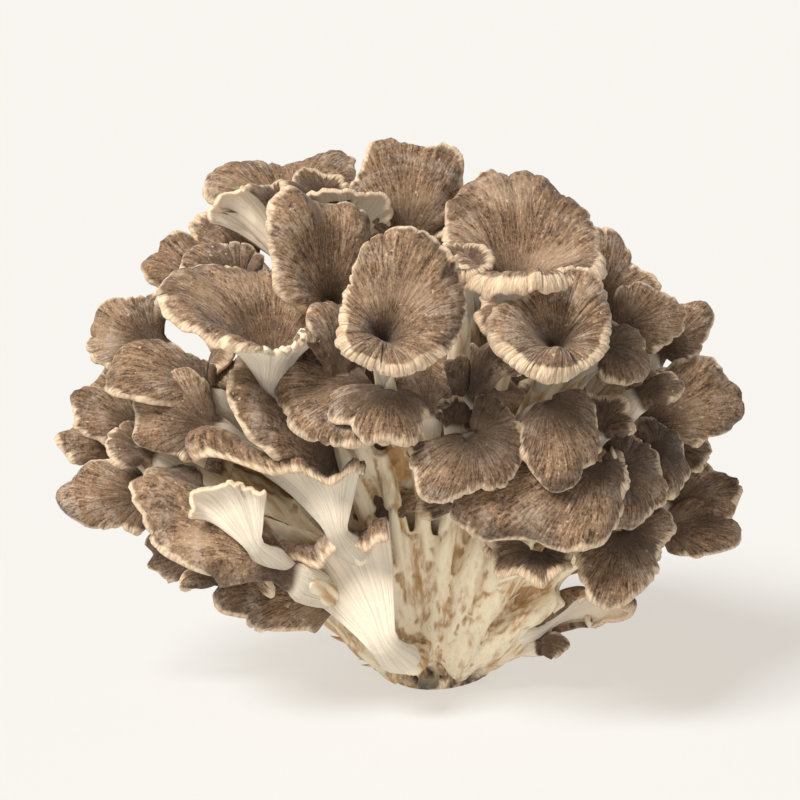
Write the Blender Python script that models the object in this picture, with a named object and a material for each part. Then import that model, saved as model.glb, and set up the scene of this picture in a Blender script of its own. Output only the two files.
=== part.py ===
"""Maitake (hen of the woods): one fruiting body grown as a single cluster.

A short foot branches into stalks, and every stalk widens into a thin wavy frond. All of it
is one continuous tissue, so the result is one closed solid that rests on its cut foot.
Directions: X to the right, Y to the back, Z up. The tables are in millimetres and degrees.
"""
import math

import bpy
import bmesh
import numpy as np

MM = 0.001                      # table millimetres to metres
GOLDEN_TURN = 137.5             # degrees, keeps neighbouring fronds different
SKIN_GRAIN = 0.9                # mm, finest detail of the fused skin
TARGET_TRIANGLES = 11500

# --- Foot and stalks --------------------------------------------------------------------
FOOT_CENTRE = (3.0, 0.0)        # mm, middle of the flat cut
FOOT_RINGS = (                  # height, half width (X), half depth (Y)
    (-4.0, 14.0, 19.0), (3.0, 15.5, 20.0), (12.0, 17.0, 20.5), (24.0, 19.0, 22.0),
    (38.0, 22.0, 26.0), (54.0, 27.0, 30.0), (70.0, 32.0, 34.0), (86.0, 32.0, 34.0),
    (100.0, 24.0, 26.0), (110.0, 10.0, 12.0))
FOOT_SIDES = 12
STALK_ROOT_HEIGHT = 12.0        # where the stalks leave the foot
STALK_ROOT_SPREAD = (11.0, 13.0)  # mm from the foot's centre, along X and Y
STALK_ROOT_RADIUS = 6.0
STALK_NECK_RADIUS = 3.6
STALK_SIDES = 8
STALK_STEPS = 10
BRANCH_STEPS = 9
# Broad branches of the stem in front: points (X, Y, Z) and radius
STEM_BRANCHES = (
    ((3, -8, 6, 10), (5, -21, 28, 8.5), (7, -33, 50, 6.5), (9, -42, 66, 5)),
    ((-4, -10, 8, 9), (-5, -23, 32, 7), (-9, -35, 54, 5.5), (-11, -46, 72, 4.5)),
    ((-8, -8, 10, 8), (-15, -22, 36, 6.2), (-21, -34, 58, 5), (-25, -42, 70, 4.2)),
    ((10, -8, 8, 10), (18, -20, 26, 8.5), (25, -32, 44, 6.5), (30, -41, 56, 5)),
    ((12, -6, 10, 9), (25, -16, 24, 7.5), (38, -27, 38, 5.5), (48, -35, 48, 4.2)),
    ((12, -8, 8, 9), (24, -16, 14, 7.5), (36, -22, 19, 5)),
    ((-8, -8, 8, 8), (-20, -20, 20, 7), (-32, -28, 30, 5)),
    ((0, 8, 8, 11), (-6, 24, 30, 8.5), (-12, 38, 52, 6)),
    ((8, 8, 8, 11), (16, 24, 30, 8), (24, 36, 50, 6)),
    ((-6, 2, 10, 10), (-26, 4, 34, 7.5), (-42, 6, 52, 5.5)),
    ((12, 2, 10, 10), (30, 6, 32, 7.5), (44, 8, 48, 5.5)),
)

# --- Frond section ----------------------------------------------------------------------
NECK_RADIUS = 2.5               # the blade starts this far from the neck point
NECK_THICKNESS = 4.5
RIM_THICKNESS = 1.9
PROFILE_STOPS = (0.0, 0.35, 0.75, 1.0)   # along a ray, neck to rim
RAY_STEPS = 40
WAVE_SHARE = 0.4                # how much of its rim's waves the solid keeps
ROLL_TURN = 190.0               # how far a rolled side edge turns under

# How a frond rises out of its neck and falls at its rim, as slopes in degrees along a ray:
# habit: (slopes along the longest ray, slopes on the opposite side, waves, wave height)
HABITS = {
    "funnel": ((78, 50, 18, -15), (94, 74, -12, -85), 7, 8),
    "cup": ((64, 46, 18, -20), (86, 83, 68, -60), 7, 8),
    "bell": ((64, 46, 18, -20), (82, 70, 46, -50), 6, 8),
    "bowl": ((42, 30, 12, -18), (90, 87, 72, -60), 6, 8),
    "fan": ((45, 25, 5, -35), (60, 40, 0, -45), 4, 14),
    "ruffle": ((45, 25, 5, -35), (60, 40, 0, -45), 6, 26),
    "trough": ((45, 25, 5, -35), (80, 65, 15, -60), 3, 10),
    "hood": ((30, 0, -25, -60), (28, -5, -28, -60), 6, 8),
    "shelf": ((35, 10, -12, -45), (25, 5, -15, -45), 6, 9),
    "wall": ((45, 32, 10, -150), (50, 38, 10, -150), 4, 9),
    "sheet": ((40, 24, 6, -25), (45, 30, 6, -25), 4, 8),
    "tongue": ((40, 30, -10, -80), (50, 40, -10, -60), 2, 8),
}

CLOSED = ("funnel", "cup", "bell", "bowl")      # habits whose reach is measured along the ray, not across
SHOWS_UNDERSIDE = ("wall", "sheet")

# Each frond: name, neck (X, Y, Z), way its upper side faces (turn from the front, lift),
# direction of its longest ray, first and last ray, reach of evenly spaced rays, habit,
# radius of its rolled side edges. Ray directions turn from straight up towards the right.
CROWN = (
    ("crown_left_cap", (-38, -5, 133), (0, 62), -20, (-110, 75), (14, 26, 21, 22, 26, 18), "fan", 0),
    ("crown_trumpet", (-27, -42, 113), (28, 32), -28, (-140, 70),
     (6, 13, 26, 39, 36, 28, 18), "cup", 3),
    ("trumpet_wall", (-26, -38, 113), (180, 25), 46, (38, 57), (38, 41, 39), "sheet", 0),
    ("crown_small_cap", (-41, -20, 138), (0, 45), -40, (-100, 50), (8, 10, 8, 9, 7), "fan", 0),
    ("crown_wavy_cap", (-29, -20, 140), (0, 45), 0, (-90, 90), (10, 13, 11, 10, 10), "ruffle", 0),
    ("crown_hood", (-22, -17, 131), (180, 40), 0, (-95, 50), (11, 14, 16, 17), "sheet", 0),
    ("crown_middle_fan", (-6, -15, 127), (0, 30), 5, (-50, 52), (22, 26, 29, 30, 29, 21), "fan", 0),
    ("crown_right_funnel", (24, -45, 114), (14, 62), 0, (-100, 260),
     (28, 30, 38, 44, 45, 40, 34, 33, 35, 38, 38, 34, 28), "bell", 0),
    ("crown_right_back", (48, -10, 110), (20, 35), 45, (-25, 120), (20, 21, 19, 18, 8), "fan", 0),
    ("crown_button", (10, -54, 125), (0, 55), 0, (-180, 180), (10, 11, 12, 12, 12, 11, 10), "cup", 0),
)
HEART = (
    ("heart_funnel", (-11, -73, 109), (4, 30), 22, (-80, 262),
     (18, 22, 29, 34, 36, 34, 29, 26, 26, 27, 27, 26, 21), "funnel", 0),
    ("right_funnel", (35, -62, 107), (5, 32), -20, (-60, 318),
     (21, 22, 23, 23, 21, 22, 25, 27, 28, 29, 29, 27, 22), "funnel", 0),
    ("pale_tongue", (12, -62, 94), (-40, 40), 25, (0, 45), (18, 22, 20), "tongue", 2),
    ("small_hook", (9, -60, 93), (0, 40), 0, (-15, 15), (11, 12, 11), "tongue", 1.2),
    ("small_knob", (8, -64, 88), (0, 30), 10, (-50, 60), (7, 8, 7), "hood", 0),
    ("left_cup", (-40, -55, 96), (35, 62), -20, (-100, 260),
     (33, 39, 43, 43, 36, 28, 25, 26, 27, 26, 27, 30, 33), "bowl", 0),
    ("left_cup_lobe", (-38, -62, 99), (30, 50), 62, (35, 85), (17, 21, 17), "tongue", 3),
    ("deep_trough", (-26, -45, 69), (35, 35), -36, (-105, 45),
     (12, 34, 56, 47, 38, 26), "bowl", 3.6),
    ("trough_lip", (-23, -59, 55), (180, 35), 42, (-18, 64), (22, 20, 21, 30, 44), "wall", 0),
    ("ram_horn", (-15, -62, 96), (-10, 45), -100, (-200, -40), (16, 18, 22, 26, 16), "shelf", 0),
    ("under_band", (-10, -66, 97), (0, 58), -160, (-240, -95), (12, 17, 16, 16, 17), "hood", 0),
    ("drooping_hood", (12, -72, 86), (5, 35), 150, (15, 258), (13, 14, 14, 15, 14, 20, 17), "hood", 0),
    ("inner_hood", (32, -64, 94), (15, 38), 160, (85, 230), (12, 16, 21, 22, 12), "hood", 0),
    ("dark_curl", (47, -52, 84), (10, 40), 0, (-100, 100), (8, 9, 9, 9, 8), "ruffle", 0),
)
RIGHT = (
    ("right_shoulder", (48, -48, 106), (25, 30), 110, (-10, 190), (8, 9, 13, 13, 9), "hood", 0),
    ("big_shelf", (47, -58, 76), (5, 40), -130, (-300, -85), (6, 7, 9, 12, 24, 30, 42, 34), "shelf", 0),
    ("shelf_neighbour", (52, -50, 72), (20, 30), 110, (0, 190), (12, 13, 15, 15, 14), "hood", 0),
    ("shelf_outer", (63, -35, 74), (35, 35), 100, (-10, 175), (9, 9, 12, 13, 12), "hood", 0),
    ("right_high_fan", (53, -20, 104), (25, 30), 70, (10, 130), (12, 16, 20, 19, 12), "fan", 0),
    ("right_far_fan", (66, 0, 95), (35, 40), 75, (20, 120), (14, 17, 21, 15, 12), "fan", 0),
    ("right_wide_fan", (60, -20, 77), (25, 25), 70, (20, 115), (17, 25, 30, 28, 18), "fan", 0),
    ("right_curl", (59, -38, 90), (10, 45), 75, (45, 105), (9, 12, 9), "tongue", 0),
    ("right_small_fan", (72, -15, 70), (40, 25), 95, (60, 150), (9, 10, 8), "fan", 0),
    ("right_low_fan", (71, -10, 52), (25, 35), 75, (10, 115), (12, 15, 20, 16), "fan", 0),
    ("right_lowest_fan", (66, -15, 46), (30, 30), 105, (60, 150), (15, 19, 22, 18, 10), "fan", 0),
)
LEFT = (
    ("left_high_fan", (-76, -5, 97), (-25, 32), -80, (-135, -5), (14, 21, 19, 16, 13), "fan", 0),
    ("left_wide_fan", (-60, -34, 90), (-5, 58), -85, (-140, 0), (9, 25, 29, 22, 13, 7), "fan", 0),
    ("left_shoulder", (-60, 0, 113), (-15, 42), -65, (-110, 0), (13, 21, 21, 16, 15), "fan", 0),
    ("left_crest", (-50, 5, 119), (-10, 35), -40, (-90, 10), (12, 19, 20, 18, 15), "fan", 0),
    ("left_inner_crest", (-51, -25, 117), (-10, 45), -50, (-100, 20), (18, 17, 14, 11), "fan", 0),
    ("left_outer_high", (-80, -5, 79), (-30, 35), -70, (-110, -30), (13, 17, 17, 12), "fan", 0),
    ("left_outer_middle", (-80, -15, 75), (-15, 45), -80, (-125, -40), (12, 19, 21, 14), "fan", 0),
    ("left_outer_low", (-84, -8, 67), (-15, 45), -85, (-110, -60), (16, 20, 18, 14), "fan", 0),
    ("left_disc", (-59, -42, 82), (-15, 20), -80, (-140, -10), (11, 20, 23, 20, 12), "shelf", 0),
    ("left_small_disc", (-76, -35, 73), (-20, 35), -85, (-125, -45), (9, 13, 13, 10), "fan", 0),
    ("left_big_shelf", (-77, -30, 59), (-15, 25), -95, (-160, -40), (11, 14, 25, 23, 13), "shelf", 0),
    ("left_small_shelf", (-63, -45, 64), (-10, 60), -60, (-115, -10), (14, 17, 14, 9), "shelf", 0),
)
LOW = (
    ("low_right_shelf", (53, -52, 54), (15, 45), 170, (40, 255), (12, 16, 13, 17, 22, 15), "shelf", 0),
    ("low_ruffle", (30, -60, 51), (0, 55), 180, (90, 270), (11, 11, 12, 13, 13), "ruffle", 0),
    ("low_ruffle_tip", (24, -57, 54), (0, 50), 240, (180, 290), (7, 9, 8), "ruffle", 0),
    ("low_right_tongue", (28, -24, 20), (180, 42), -84, (-106, -60), (24, 31, 22), "tongue", 1.5),
    ("foot_flake", (31, -25, 15), (0, 30), 90, (70, 110), (7, 9, 7), "tongue", 0),
    ("long_trough", (-36, -58, 44), (-10, 52), -72, (-98, -50), (24, 38, 47, 46, 34), "trough", 4),
    ("golden_rim", (-45, -62, 52), (180, 20), 30, (-5, 66), (17, 20, 22, 22), "sheet", 0),
    ("low_left_fan", (-64, -27, 42), (-30, 10), -110, (-140, -55), (12, 17, 17, 14), "shelf", 0),
    ("low_left_tip", (-56, -35, 38), (-10, 40), -108, (-120, -96), (12, 14, 11), "tongue", 0),
    ("low_left_shelf", (-22, -38, 33), (-5, 40), -90, (-135, -60), (15, 25, 34, 34, 22), "shelf", 0),
    ("rolled_wall", (-8, -53, 20), (180, 25), 36, (4, 68), (36, 36, 37, 40, 42), "wall", 0),
)

# The unseen back and the shaded heart carry the same kinds of frond in tiers: name, fronds,
# first turn, last turn, neck distance from the axis, neck height, lift, mean reach
TIERS = (
    ("back_low", 4, 95, 265, 46, 37, 26, 24),
    ("back_wide", 5, 90, 270, 60, 60, 30, 25),
    ("back_middle", 6, 88, 272, 60, 85, 36, 26),
    ("back_high", 4, 104, 258, 44, 106, 46, 24),
    ("back_crown", 2, 118, 245, 24, 119, 60, 22),
    ("top", 2, 60, 200, 9, 124, 76, 18),
)
TIER_HABITS = ("fan", "shelf", "fan", "hood", "shelf", "shelf", "fan")
TIER_SWAY = 2.0                 # mm, how much the loop shifts the necks


def tier_frond(name, number, turn, distance, height, lift, reach):
    """One frond of a tier, varied by a fixed turn from its neighbours."""
    sway = math.sin(math.radians(GOLDEN_TURN * number))
    swing = math.cos(math.radians(GOLDEN_TURN * number))
    habit = TIER_HABITS[number % len(TIER_HABITS)]
    closed = habit in CLOSED
    half_span = 165 if closed else 80 + 12 * swing
    reaches = [reach * (0.78 + 0.16 * math.cos(0.9 * k + number) + (0.16 if k in (2, 3) else 0))
               for k in range(6)]
    if closed:
        reaches = [1.35 * r * w for r, w in zip(reaches, (0.75, 0.95, 1.05, 1.05, 0.95, 0.75))]
    side = math.radians(turn)
    out = distance + TIER_SWAY * sway
    neck = (out * math.sin(side), -out * math.cos(side), height + 2 * TIER_SWAY * swing)
    longest = 25 * sway
    span = (longest - half_span, longest + half_span)
    return (name, neck, (turn + 10 * swing, lift + 8 * sway), longest, span, reaches, habit, 0)


def tier_fronds():
    """Every frond of the tiers."""
    rows = []
    for kind, count, first, last, distance, height, lift, reach in TIERS:
        for step in range(count):
            turn = first + (last - first) * step / (count - 1)
            name = "%s_%d" % (kind, step + 1)
            rows.append(tier_frond(name, len(rows), turn, distance, height, lift, reach))
    return tuple(rows)


FRONDS = CROWN + HEART + RIGHT + LEFT + LOW + tier_fronds()
THICK_NECKS = {"rolled_wall": (4.0, 9.0), "low_right_tongue": (3.5, 6.0), "golden_rim": (3.0, 4.5)}
STOUT_STALKS = {"rolled_wall": 1.7, "low_right_tongue": 1.7, "trough_lip": 1.0, "big_shelf": 1.4,
                "low_right_shelf": 1.4, "drooping_hood": 1.3, "deep_trough": 1.3, "long_trough": 1.2}
NARROW_STALKS = {"small_hook", "small_knob", "foot_flake", "crown_small_cap", "low_left_tip"}


# --- Frond surface ----------------------------------------------------------------------
def facing_axes(facing, lift):
    """Up-slope, sideways and outward directions of a frond's plane."""
    turn, rise = math.radians(facing), math.radians(lift)
    outward = np.array((math.sin(turn) * math.cos(rise), -math.cos(turn) * math.cos(rise), math.sin(rise)))
    upslope = np.array((-math.sin(turn) * math.sin(rise), math.cos(turn) * math.sin(rise), math.cos(rise)))
    return upslope, np.cross(upslope, outward), outward


def spread(values, places):
    """Smooth curve through evenly spaced values, read at places from 0 to 1."""
    values = np.array(values, float)
    last = len(values) - 1
    where = np.clip(places * last, 0, last - 1e-9)
    left = where.astype(int)
    part = where - left
    a, b, c, d = (values[np.clip(left + k, 0, last)] for k in (-1, 0, 1, 2))
    return b + 0.5 * part * (c - a + part * (2 * a - 5 * b + 4 * c - d + part * (3 * (b - c) + d - a)))


def phases(name):
    """Two fixed angles that make each frond's waves its own."""
    code = sum((k + 1) * ord(letter) for k, letter in enumerate(name))
    return math.radians(code * 37 % 360), math.radians(code * 73 % 360)


def blade(frond, columns, stops):
    """Middle surface of a frond: points[column, stop], in millimetres."""
    name, neck, (facing, lift), longest, (first, last), reaches, habit, roll = frond
    far, near, waves, wave = HABITS[habit]
    upslope, sideways, outward = facing_axes(facing, lift)
    start = THICK_NECKS.get(name, (NECK_RADIUS, 0))[0]
    place = np.linspace(0, 1, columns + 1)
    degrees = first + (last - first) * place
    turned = np.abs((degrees - longest + 180) % 360 - 180)
    opposite = (1 - np.cos(np.radians(turned))) / 2
    one, two = phases(name)
    reach = spread(reaches, place) * (1 + 0.05 * np.sin(1.2 * math.pi * place * waves + two))
    along = (np.arange(RAY_STEPS) + 0.5) / RAY_STEPS
    far_slope = np.interp(along, PROFILE_STOPS, far)
    near_slope = np.interp(along, PROFILE_STOPS, near)
    slope = far_slope + (near_slope - far_slope) * opposite[:, None]
    slope = slope + WAVE_SHARE * wave * along ** 2 * np.sin(math.pi * place * waves + one)[:, None]
    slope = np.radians(slope)
    out = np.concatenate((np.zeros((columns + 1, 1)), np.cumsum(np.cos(slope), 1)), 1)
    up = np.concatenate((np.zeros((columns + 1, 1)), np.cumsum(np.sin(slope), 1)), 1)
    whole_ray = RAY_STEPS if habit in CLOSED else out.max(1)
    size = ((reach - start) / whole_ray)[:, None]
    angle = np.radians(degrees)[:, None]
    ray = np.cos(angle) * upslope + np.sin(angle) * sideways
    points = np.array(neck, float) + (start + out * size)[..., None] * ray[:, None]
    points = points + (up * size)[..., None] * outward
    if roll:
        points = with_rolled_sides(points, outward, roll)
    rows = np.round(np.array(stops) * RAY_STEPS).astype(int)
    return points[:, rows]


def surface_normals(points, outward):
    """Unit normals of a grid of points, on the side that the frond's upper face is."""
    across = np.gradient(points, axis=0)
    along = np.gradient(points, axis=1)
    normals = np.cross(along, across)
    normals /= np.linalg.norm(normals, axis=2, keepdims=True) + 1e-9
    middle = normals[len(points) // 2, points.shape[1] // 2]
    return normals if middle @ outward > 0 else -normals


def with_rolled_sides(points, outward, radius, steps=3):
    """Both straight side edges turned under into a small roll."""
    normals = surface_normals(points, outward)
    length = np.linspace(0, 1, points.shape[1])
    curl = (radius * np.clip(length / 0.35, 0, 1) ** 0.8)[:, None]
    parts = []
    for side, inner in ((0, 1), (-1, -2)):
        along = np.gradient(points[side], axis=0)
        beyond = np.cross(normals[side], along)
        beyond /= np.linalg.norm(beyond, axis=1, keepdims=True) + 1e-9
        if (beyond * (points[side] - points[inner])).sum() < 0:
            beyond = -beyond
        rolled = []
        for step in range(1, steps + 1):
            turn = math.radians(ROLL_TURN) * step / steps
            rolled.append(points[side] + curl * (math.sin(turn) * beyond - (1 - math.cos(turn)) * normals[side]))
        parts.append(np.array(rolled))
    return np.concatenate((parts[0][::-1], points, parts[1]), 0)


def frond_size(frond):
    """Number of columns and the stops along a ray, by how large the frond is."""
    first, last = frond[4]
    rim = math.radians(last - first) * sum(frond[5]) / len(frond[5])
    columns = int(min(36, max(10, round(rim / 3))))
    stops = (0, 0.15, 0.3, 0.45, 0.6, 0.75, 0.88, 1)
    return columns, stops


def frond_mesh(frond):
    """Closed thin solid of one frond: vertices and faces."""
    name = frond[0]
    outward = facing_axes(*frond[2])[2]
    columns, stops = frond_size(frond)
    points = blade(frond, columns, stops)
    normals = surface_normals(points, outward)
    neck_thickness = THICK_NECKS.get(name, (0, NECK_THICKNESS))[1]
    stop = np.array(stops)
    thickness = RIM_THICKNESS + (neck_thickness - RIM_THICKNESS) * (1 - stop) ** 1.5
    offset = normals * thickness[None, :, None] / 2
    upper, lower = points + offset, points - offset
    wide, deep = points.shape[:2]
    vertices = np.concatenate((upper.reshape(-1, 3), lower.reshape(-1, 3)))
    under = wide * deep
    faces = []
    for i in range(wide - 1):
        for j in range(deep - 1):
            corner = (i * deep + j, (i + 1) * deep + j, (i + 1) * deep + j + 1, i * deep + j + 1)
            faces.append(corner)
            faces.append(tuple(under + k for k in reversed(corner)))
        for j in (0, deep - 1):
            a, b = i * deep + j, (i + 1) * deep + j
            faces.append((a, b, under + b, under + a) if j else (b, a, under + a, under + b))
    for i in (0, wide - 1):
        for j in range(deep - 1):
            a, b = i * deep + j, i * deep + j + 1
            faces.append((a, b, under + b, under + a) if i == 0 else (b, a, under + a, under + b))
    return vertices, faces


# --- Stalks and foot --------------------------------------------------------------------
def stalk_path(frond, steps):
    """Centre line of a stalk, from the foot up into the neck of its frond."""
    neck = np.array(frond[1], float)
    upslope, sideways, outward = facing_axes(*frond[2])
    far = math.radians(frond[3])
    longest = math.cos(far) * upslope + math.sin(far) * sideways
    lean = 0.8 if frond[6] in CLOSED else 0.3
    arrival = lean * outward + (1 - lean) * longest
    arrival /= np.linalg.norm(arrival)
    away = math.atan2(neck[1], neck[0])
    root = np.array((FOOT_CENTRE[0] + STALK_ROOT_SPREAD[0] * math.cos(away),
                     FOOT_CENTRE[1] + STALK_ROOT_SPREAD[1] * math.sin(away),
                     STALK_ROOT_HEIGHT + 0.12 * max(0, neck[2] - 40)))
    root[2] = min(root[2], 0.5 * neck[2])
    length = np.linalg.norm(neck - root)
    rise = np.array((0.004 * neck[0], 0.004 * neck[1], min(1.0, neck[2] / 70)))
    first = root + rise * 0.4 * length
    straight = neck - arrival * 0.28 * length
    inside = np.array((0.72 * neck[0], 0.72 * neck[1], neck[2] - 0.25 * length))
    second = 0.4 * straight + 0.6 * inside
    closed = frond[6] in CLOSED
    end = neck - arrival if closed else neck + arrival * 2.0
    t = np.linspace(0, 1, steps + 1)[:, None]
    return ((1 - t) ** 3 * root + 3 * (1 - t) ** 2 * t * first + 3 * (1 - t) * t ** 2 * second + t ** 3 * end)


def stalk_mesh(frond):
    """Closed tapering stalk: vertices and faces."""
    path = stalk_path(frond, STALK_STEPS)
    girth = STOUT_STALKS.get(frond[0], 0.7 if frond[0] in NARROW_STALKS else 1)
    root, neck = STALK_ROOT_RADIUS * girth, STALK_NECK_RADIUS * girth
    sideways = facing_axes(*frond[2])[1]
    tangents = np.gradient(path, axis=0)
    rings = []
    for step, (centre, tangent) in enumerate(zip(path, tangents)):
        tangent = tangent / np.linalg.norm(tangent)
        broad = sideways - tangent * (sideways @ tangent)
        broad /= np.linalg.norm(broad) + 1e-9
        flat = np.cross(tangent, broad)
        part = step / STALK_STEPS
        radius = root + (neck - root) * part
        turn = np.arange(STALK_SIDES) * 2 * math.pi / STALK_SIDES
        rings.append(centre + radius * (1.15 * np.cos(turn)[:, None] * broad + np.sin(turn)[:, None] * flat))
    return ring_solid(rings)


def ring_solid(rings):
    """Closed solid through a row of equal rings, with a flat face on each end."""
    sides = len(rings[0])
    vertices = np.concatenate(rings)
    faces = [tuple(reversed(range(sides)))]
    for ring in range(len(rings) - 1):
        for k in range(sides):
            a, b = ring * sides + k, ring * sides + (k + 1) % sides
            faces.append((a, b, b + sides, a + sides))
    top = (len(rings) - 1) * sides
    faces.append(tuple(range(top, top + sides)))
    return vertices, faces


def foot_mesh():
    """The gnarled foot that every stalk grows from."""
    rings = []
    for number, (height, half_width, half_depth) in enumerate(FOOT_RINGS):
        turn = np.arange(FOOT_SIDES) * 2 * math.pi / FOOT_SIDES
        swell = 1 + 0.07 * np.sin(3 * turn + number) * (number > 0)
        ring = np.stack((FOOT_CENTRE[0] + half_width * swell * np.cos(turn),
                         FOOT_CENTRE[1] + half_depth * swell * np.sin(turn),
                         np.full(FOOT_SIDES, height)), 1)
        rings.append(ring)
    return ring_solid(rings)



def branch_mesh(row):
    """Closed tapering branch of the stem through a few points: vertices and faces."""
    row = np.array(row, float)
    place = np.linspace(0, 1, BRANCH_STEPS)
    path = np.column_stack([spread(row[:, k], place) for k in range(3)])
    radius = spread(row[:, 3], place)
    tangents = np.gradient(path, axis=0)
    turn = (np.arange(STALK_SIDES) * 2 * math.pi / STALK_SIDES)[:, None]
    rings = []
    for centre, tangent, size in zip(path, tangents, radius):
        tangent = tangent / np.linalg.norm(tangent)
        across = np.cross(tangent, (0.0, 1.0, 0.0))
        across /= np.linalg.norm(across)
        flat = np.cross(across, tangent)
        rings.append(centre + size * (np.cos(turn) * across + np.sin(turn) * flat))
    return ring_solid(rings)


# --- Building ---------------------------------------------------------------------------
def clear_scene():
    """Start from an empty scene."""
    for item in list(bpy.data.objects):
        bpy.data.objects.remove(item, do_unlink=True)


def joined_mesh(name, solids):
    """One mesh from a list of closed, overlapping vertex and face lists."""
    shape = bmesh.new()
    for vertices, faces in solids:
        corners = [shape.verts.new(place) for place in vertices * MM]
        skin = [shape.faces.new([corners[k] for k in face]) for face in faces]
        bmesh.ops.recalc_face_normals(shape, faces=skin)
    mesh = bpy.data.meshes.new(name)
    shape.to_mesh(mesh)
    shape.free()
    return mesh


def bake_modifiers(body):
    """Replace the mesh by what its modifiers make of it."""
    graph = bpy.context.evaluated_depsgraph_get()
    mesh = bpy.data.meshes.new_from_object(body.evaluated_get(graph))
    body.modifiers.clear()
    body.data = mesh


def grow_together(body):
    """Fuse foot, stalks and blades into one skin, with soft joints where they meet."""
    skin = body.modifiers.new("one_skin", "REMESH")
    skin.mode = "VOXEL"
    skin.voxel_size = SKIN_GRAIN * MM
    bake_modifiers(body)


def in_fixed_order(mesh):
    """Sort edges by their ends, so that simplifying gives the same result on any machine."""
    shape = bmesh.new()
    shape.from_mesh(mesh)
    shape.verts.index_update()
    shape.edges.sort(key=edge_rank)
    shape.to_mesh(mesh)
    shape.free()


def edge_rank(edge):
    """One number from an edge's two corner numbers, lower corner first."""
    first, second = (corner.index for corner in edge.verts)
    return min(first, second) * 10000000 + max(first, second)


def simplify(body):
    """Keep the triangles that the shape needs."""
    body.data.calc_loop_triangles()
    fewer = body.modifiers.new("fewer_faces", "DECIMATE")
    fewer.ratio = TARGET_TRIANGLES / len(body.data.loop_triangles)
    bake_modifiers(body)


def cut_flat(body):
    """Trim everything below the floor, so that the foot is one flat face."""
    shape = bmesh.new()
    shape.from_mesh(body.data)
    geometry = shape.verts[:] + shape.edges[:] + shape.faces[:]
    cut = bmesh.ops.bisect_plane(shape, geom=geometry, dist=1e-6, plane_co=(0, 0, 0),
                                 plane_no=(0, 0, -1), clear_outer=True)
    edges = [item for item in cut["geom_cut"] if isinstance(item, bmesh.types.BMEdge)]
    bmesh.ops.holes_fill(shape, edges=edges, sides=0)
    bmesh.ops.triangulate(shape, faces=shape.faces)
    shape.to_mesh(body.data)
    shape.free()


def keep_largest(body):
    """Drop the tiny flakes that simplifying can leave inside a fold."""
    shape = bmesh.new()
    shape.from_mesh(body.data)
    shape.verts.ensure_lookup_table()
    waiting = set(shape.verts)
    islands = []
    while waiting:
        edge_of_search = [waiting.pop()]
        island = list(edge_of_search)
        while edge_of_search:
            corner = edge_of_search.pop()
            for link in corner.link_edges:
                other = link.other_vert(corner)
                if other in waiting:
                    waiting.remove(other)
                    edge_of_search.append(other)
                    island.append(other)
        islands.append(island)
    islands.sort(key=len)
    for island in islands[:-1]:
        bmesh.ops.delete(shape, geom=island, context="VERTS")
    shape.to_mesh(body.data)
    shape.free()


def tissue_material():
    """Matt fungus tissue, the mean of the brown caps."""
    material = bpy.data.materials.new("maitake_tissue")
    material.use_nodes = True
    shader = material.node_tree.nodes["Principled BSDF"]
    shader.inputs["Base Color"].default_value = (0.31, 0.21, 0.13, 1)
    shader.inputs["Roughness"].default_value = 0.8
    shader.inputs["Metallic"].default_value = 0.0
    return material


def main():
    clear_scene()
    solids = [foot_mesh()]
    solids += [branch_mesh(row) for row in STEM_BRANCHES]
    for frond in FRONDS:
        solids += [stalk_mesh(frond), frond_mesh(frond)]
    body = bpy.data.objects.new("maitake_cluster", joined_mesh("maitake_cluster", solids))
    bpy.context.scene.collection.objects.link(body)
    grow_together(body)
    in_fixed_order(body.data)
    simplify(body)
    cut_flat(body)
    keep_largest(body)
    body.data.shade_smooth()
    body.data.materials.clear()
    body.data.materials.append(tissue_material())


if __name__ == "__main__":
    main()
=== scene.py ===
"""Maitake (hen of the woods) cluster: the finished fronds, stem, ground and light.

Every frond is one closed leaf of tissue that runs from its stalk to its curled rim. The
stalks fuse into one fibrous stem on a cut foot. Directions: X to the right, Y to the back,
Z up. The tables are in millimetres and degrees, the objects in metres.
"""
import math
from typing import NamedTuple

import bmesh
import bpy
import numpy as np
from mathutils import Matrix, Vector


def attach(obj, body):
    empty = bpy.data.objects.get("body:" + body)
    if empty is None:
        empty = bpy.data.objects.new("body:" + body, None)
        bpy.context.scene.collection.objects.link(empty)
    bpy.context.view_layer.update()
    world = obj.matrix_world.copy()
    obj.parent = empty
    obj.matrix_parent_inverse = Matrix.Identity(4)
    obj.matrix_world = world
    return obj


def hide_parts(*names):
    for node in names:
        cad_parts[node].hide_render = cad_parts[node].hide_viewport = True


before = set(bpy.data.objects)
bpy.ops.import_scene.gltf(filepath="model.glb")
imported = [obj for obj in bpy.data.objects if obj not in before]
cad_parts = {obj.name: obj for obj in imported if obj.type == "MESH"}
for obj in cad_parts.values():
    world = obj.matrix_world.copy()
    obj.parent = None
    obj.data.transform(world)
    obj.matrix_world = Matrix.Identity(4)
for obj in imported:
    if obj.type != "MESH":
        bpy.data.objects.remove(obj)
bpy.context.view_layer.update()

bl_info = {
    "name": "Maitake Cluster",
    "version": (1, 0, 0),
    "blender": (4, 5, 0),
    "location": "3D View > Sidebar > Maitake",
    "description": "Builds a maitake mushroom cluster frond by frond",
    "category": "Object",
}

BODY = "root"
NODE = "maitake_cluster"
MM = 0.001                      # table millimetres to metres
GOLDEN_TURN = 137.5             # degrees, keeps neighbouring fronds different

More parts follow.
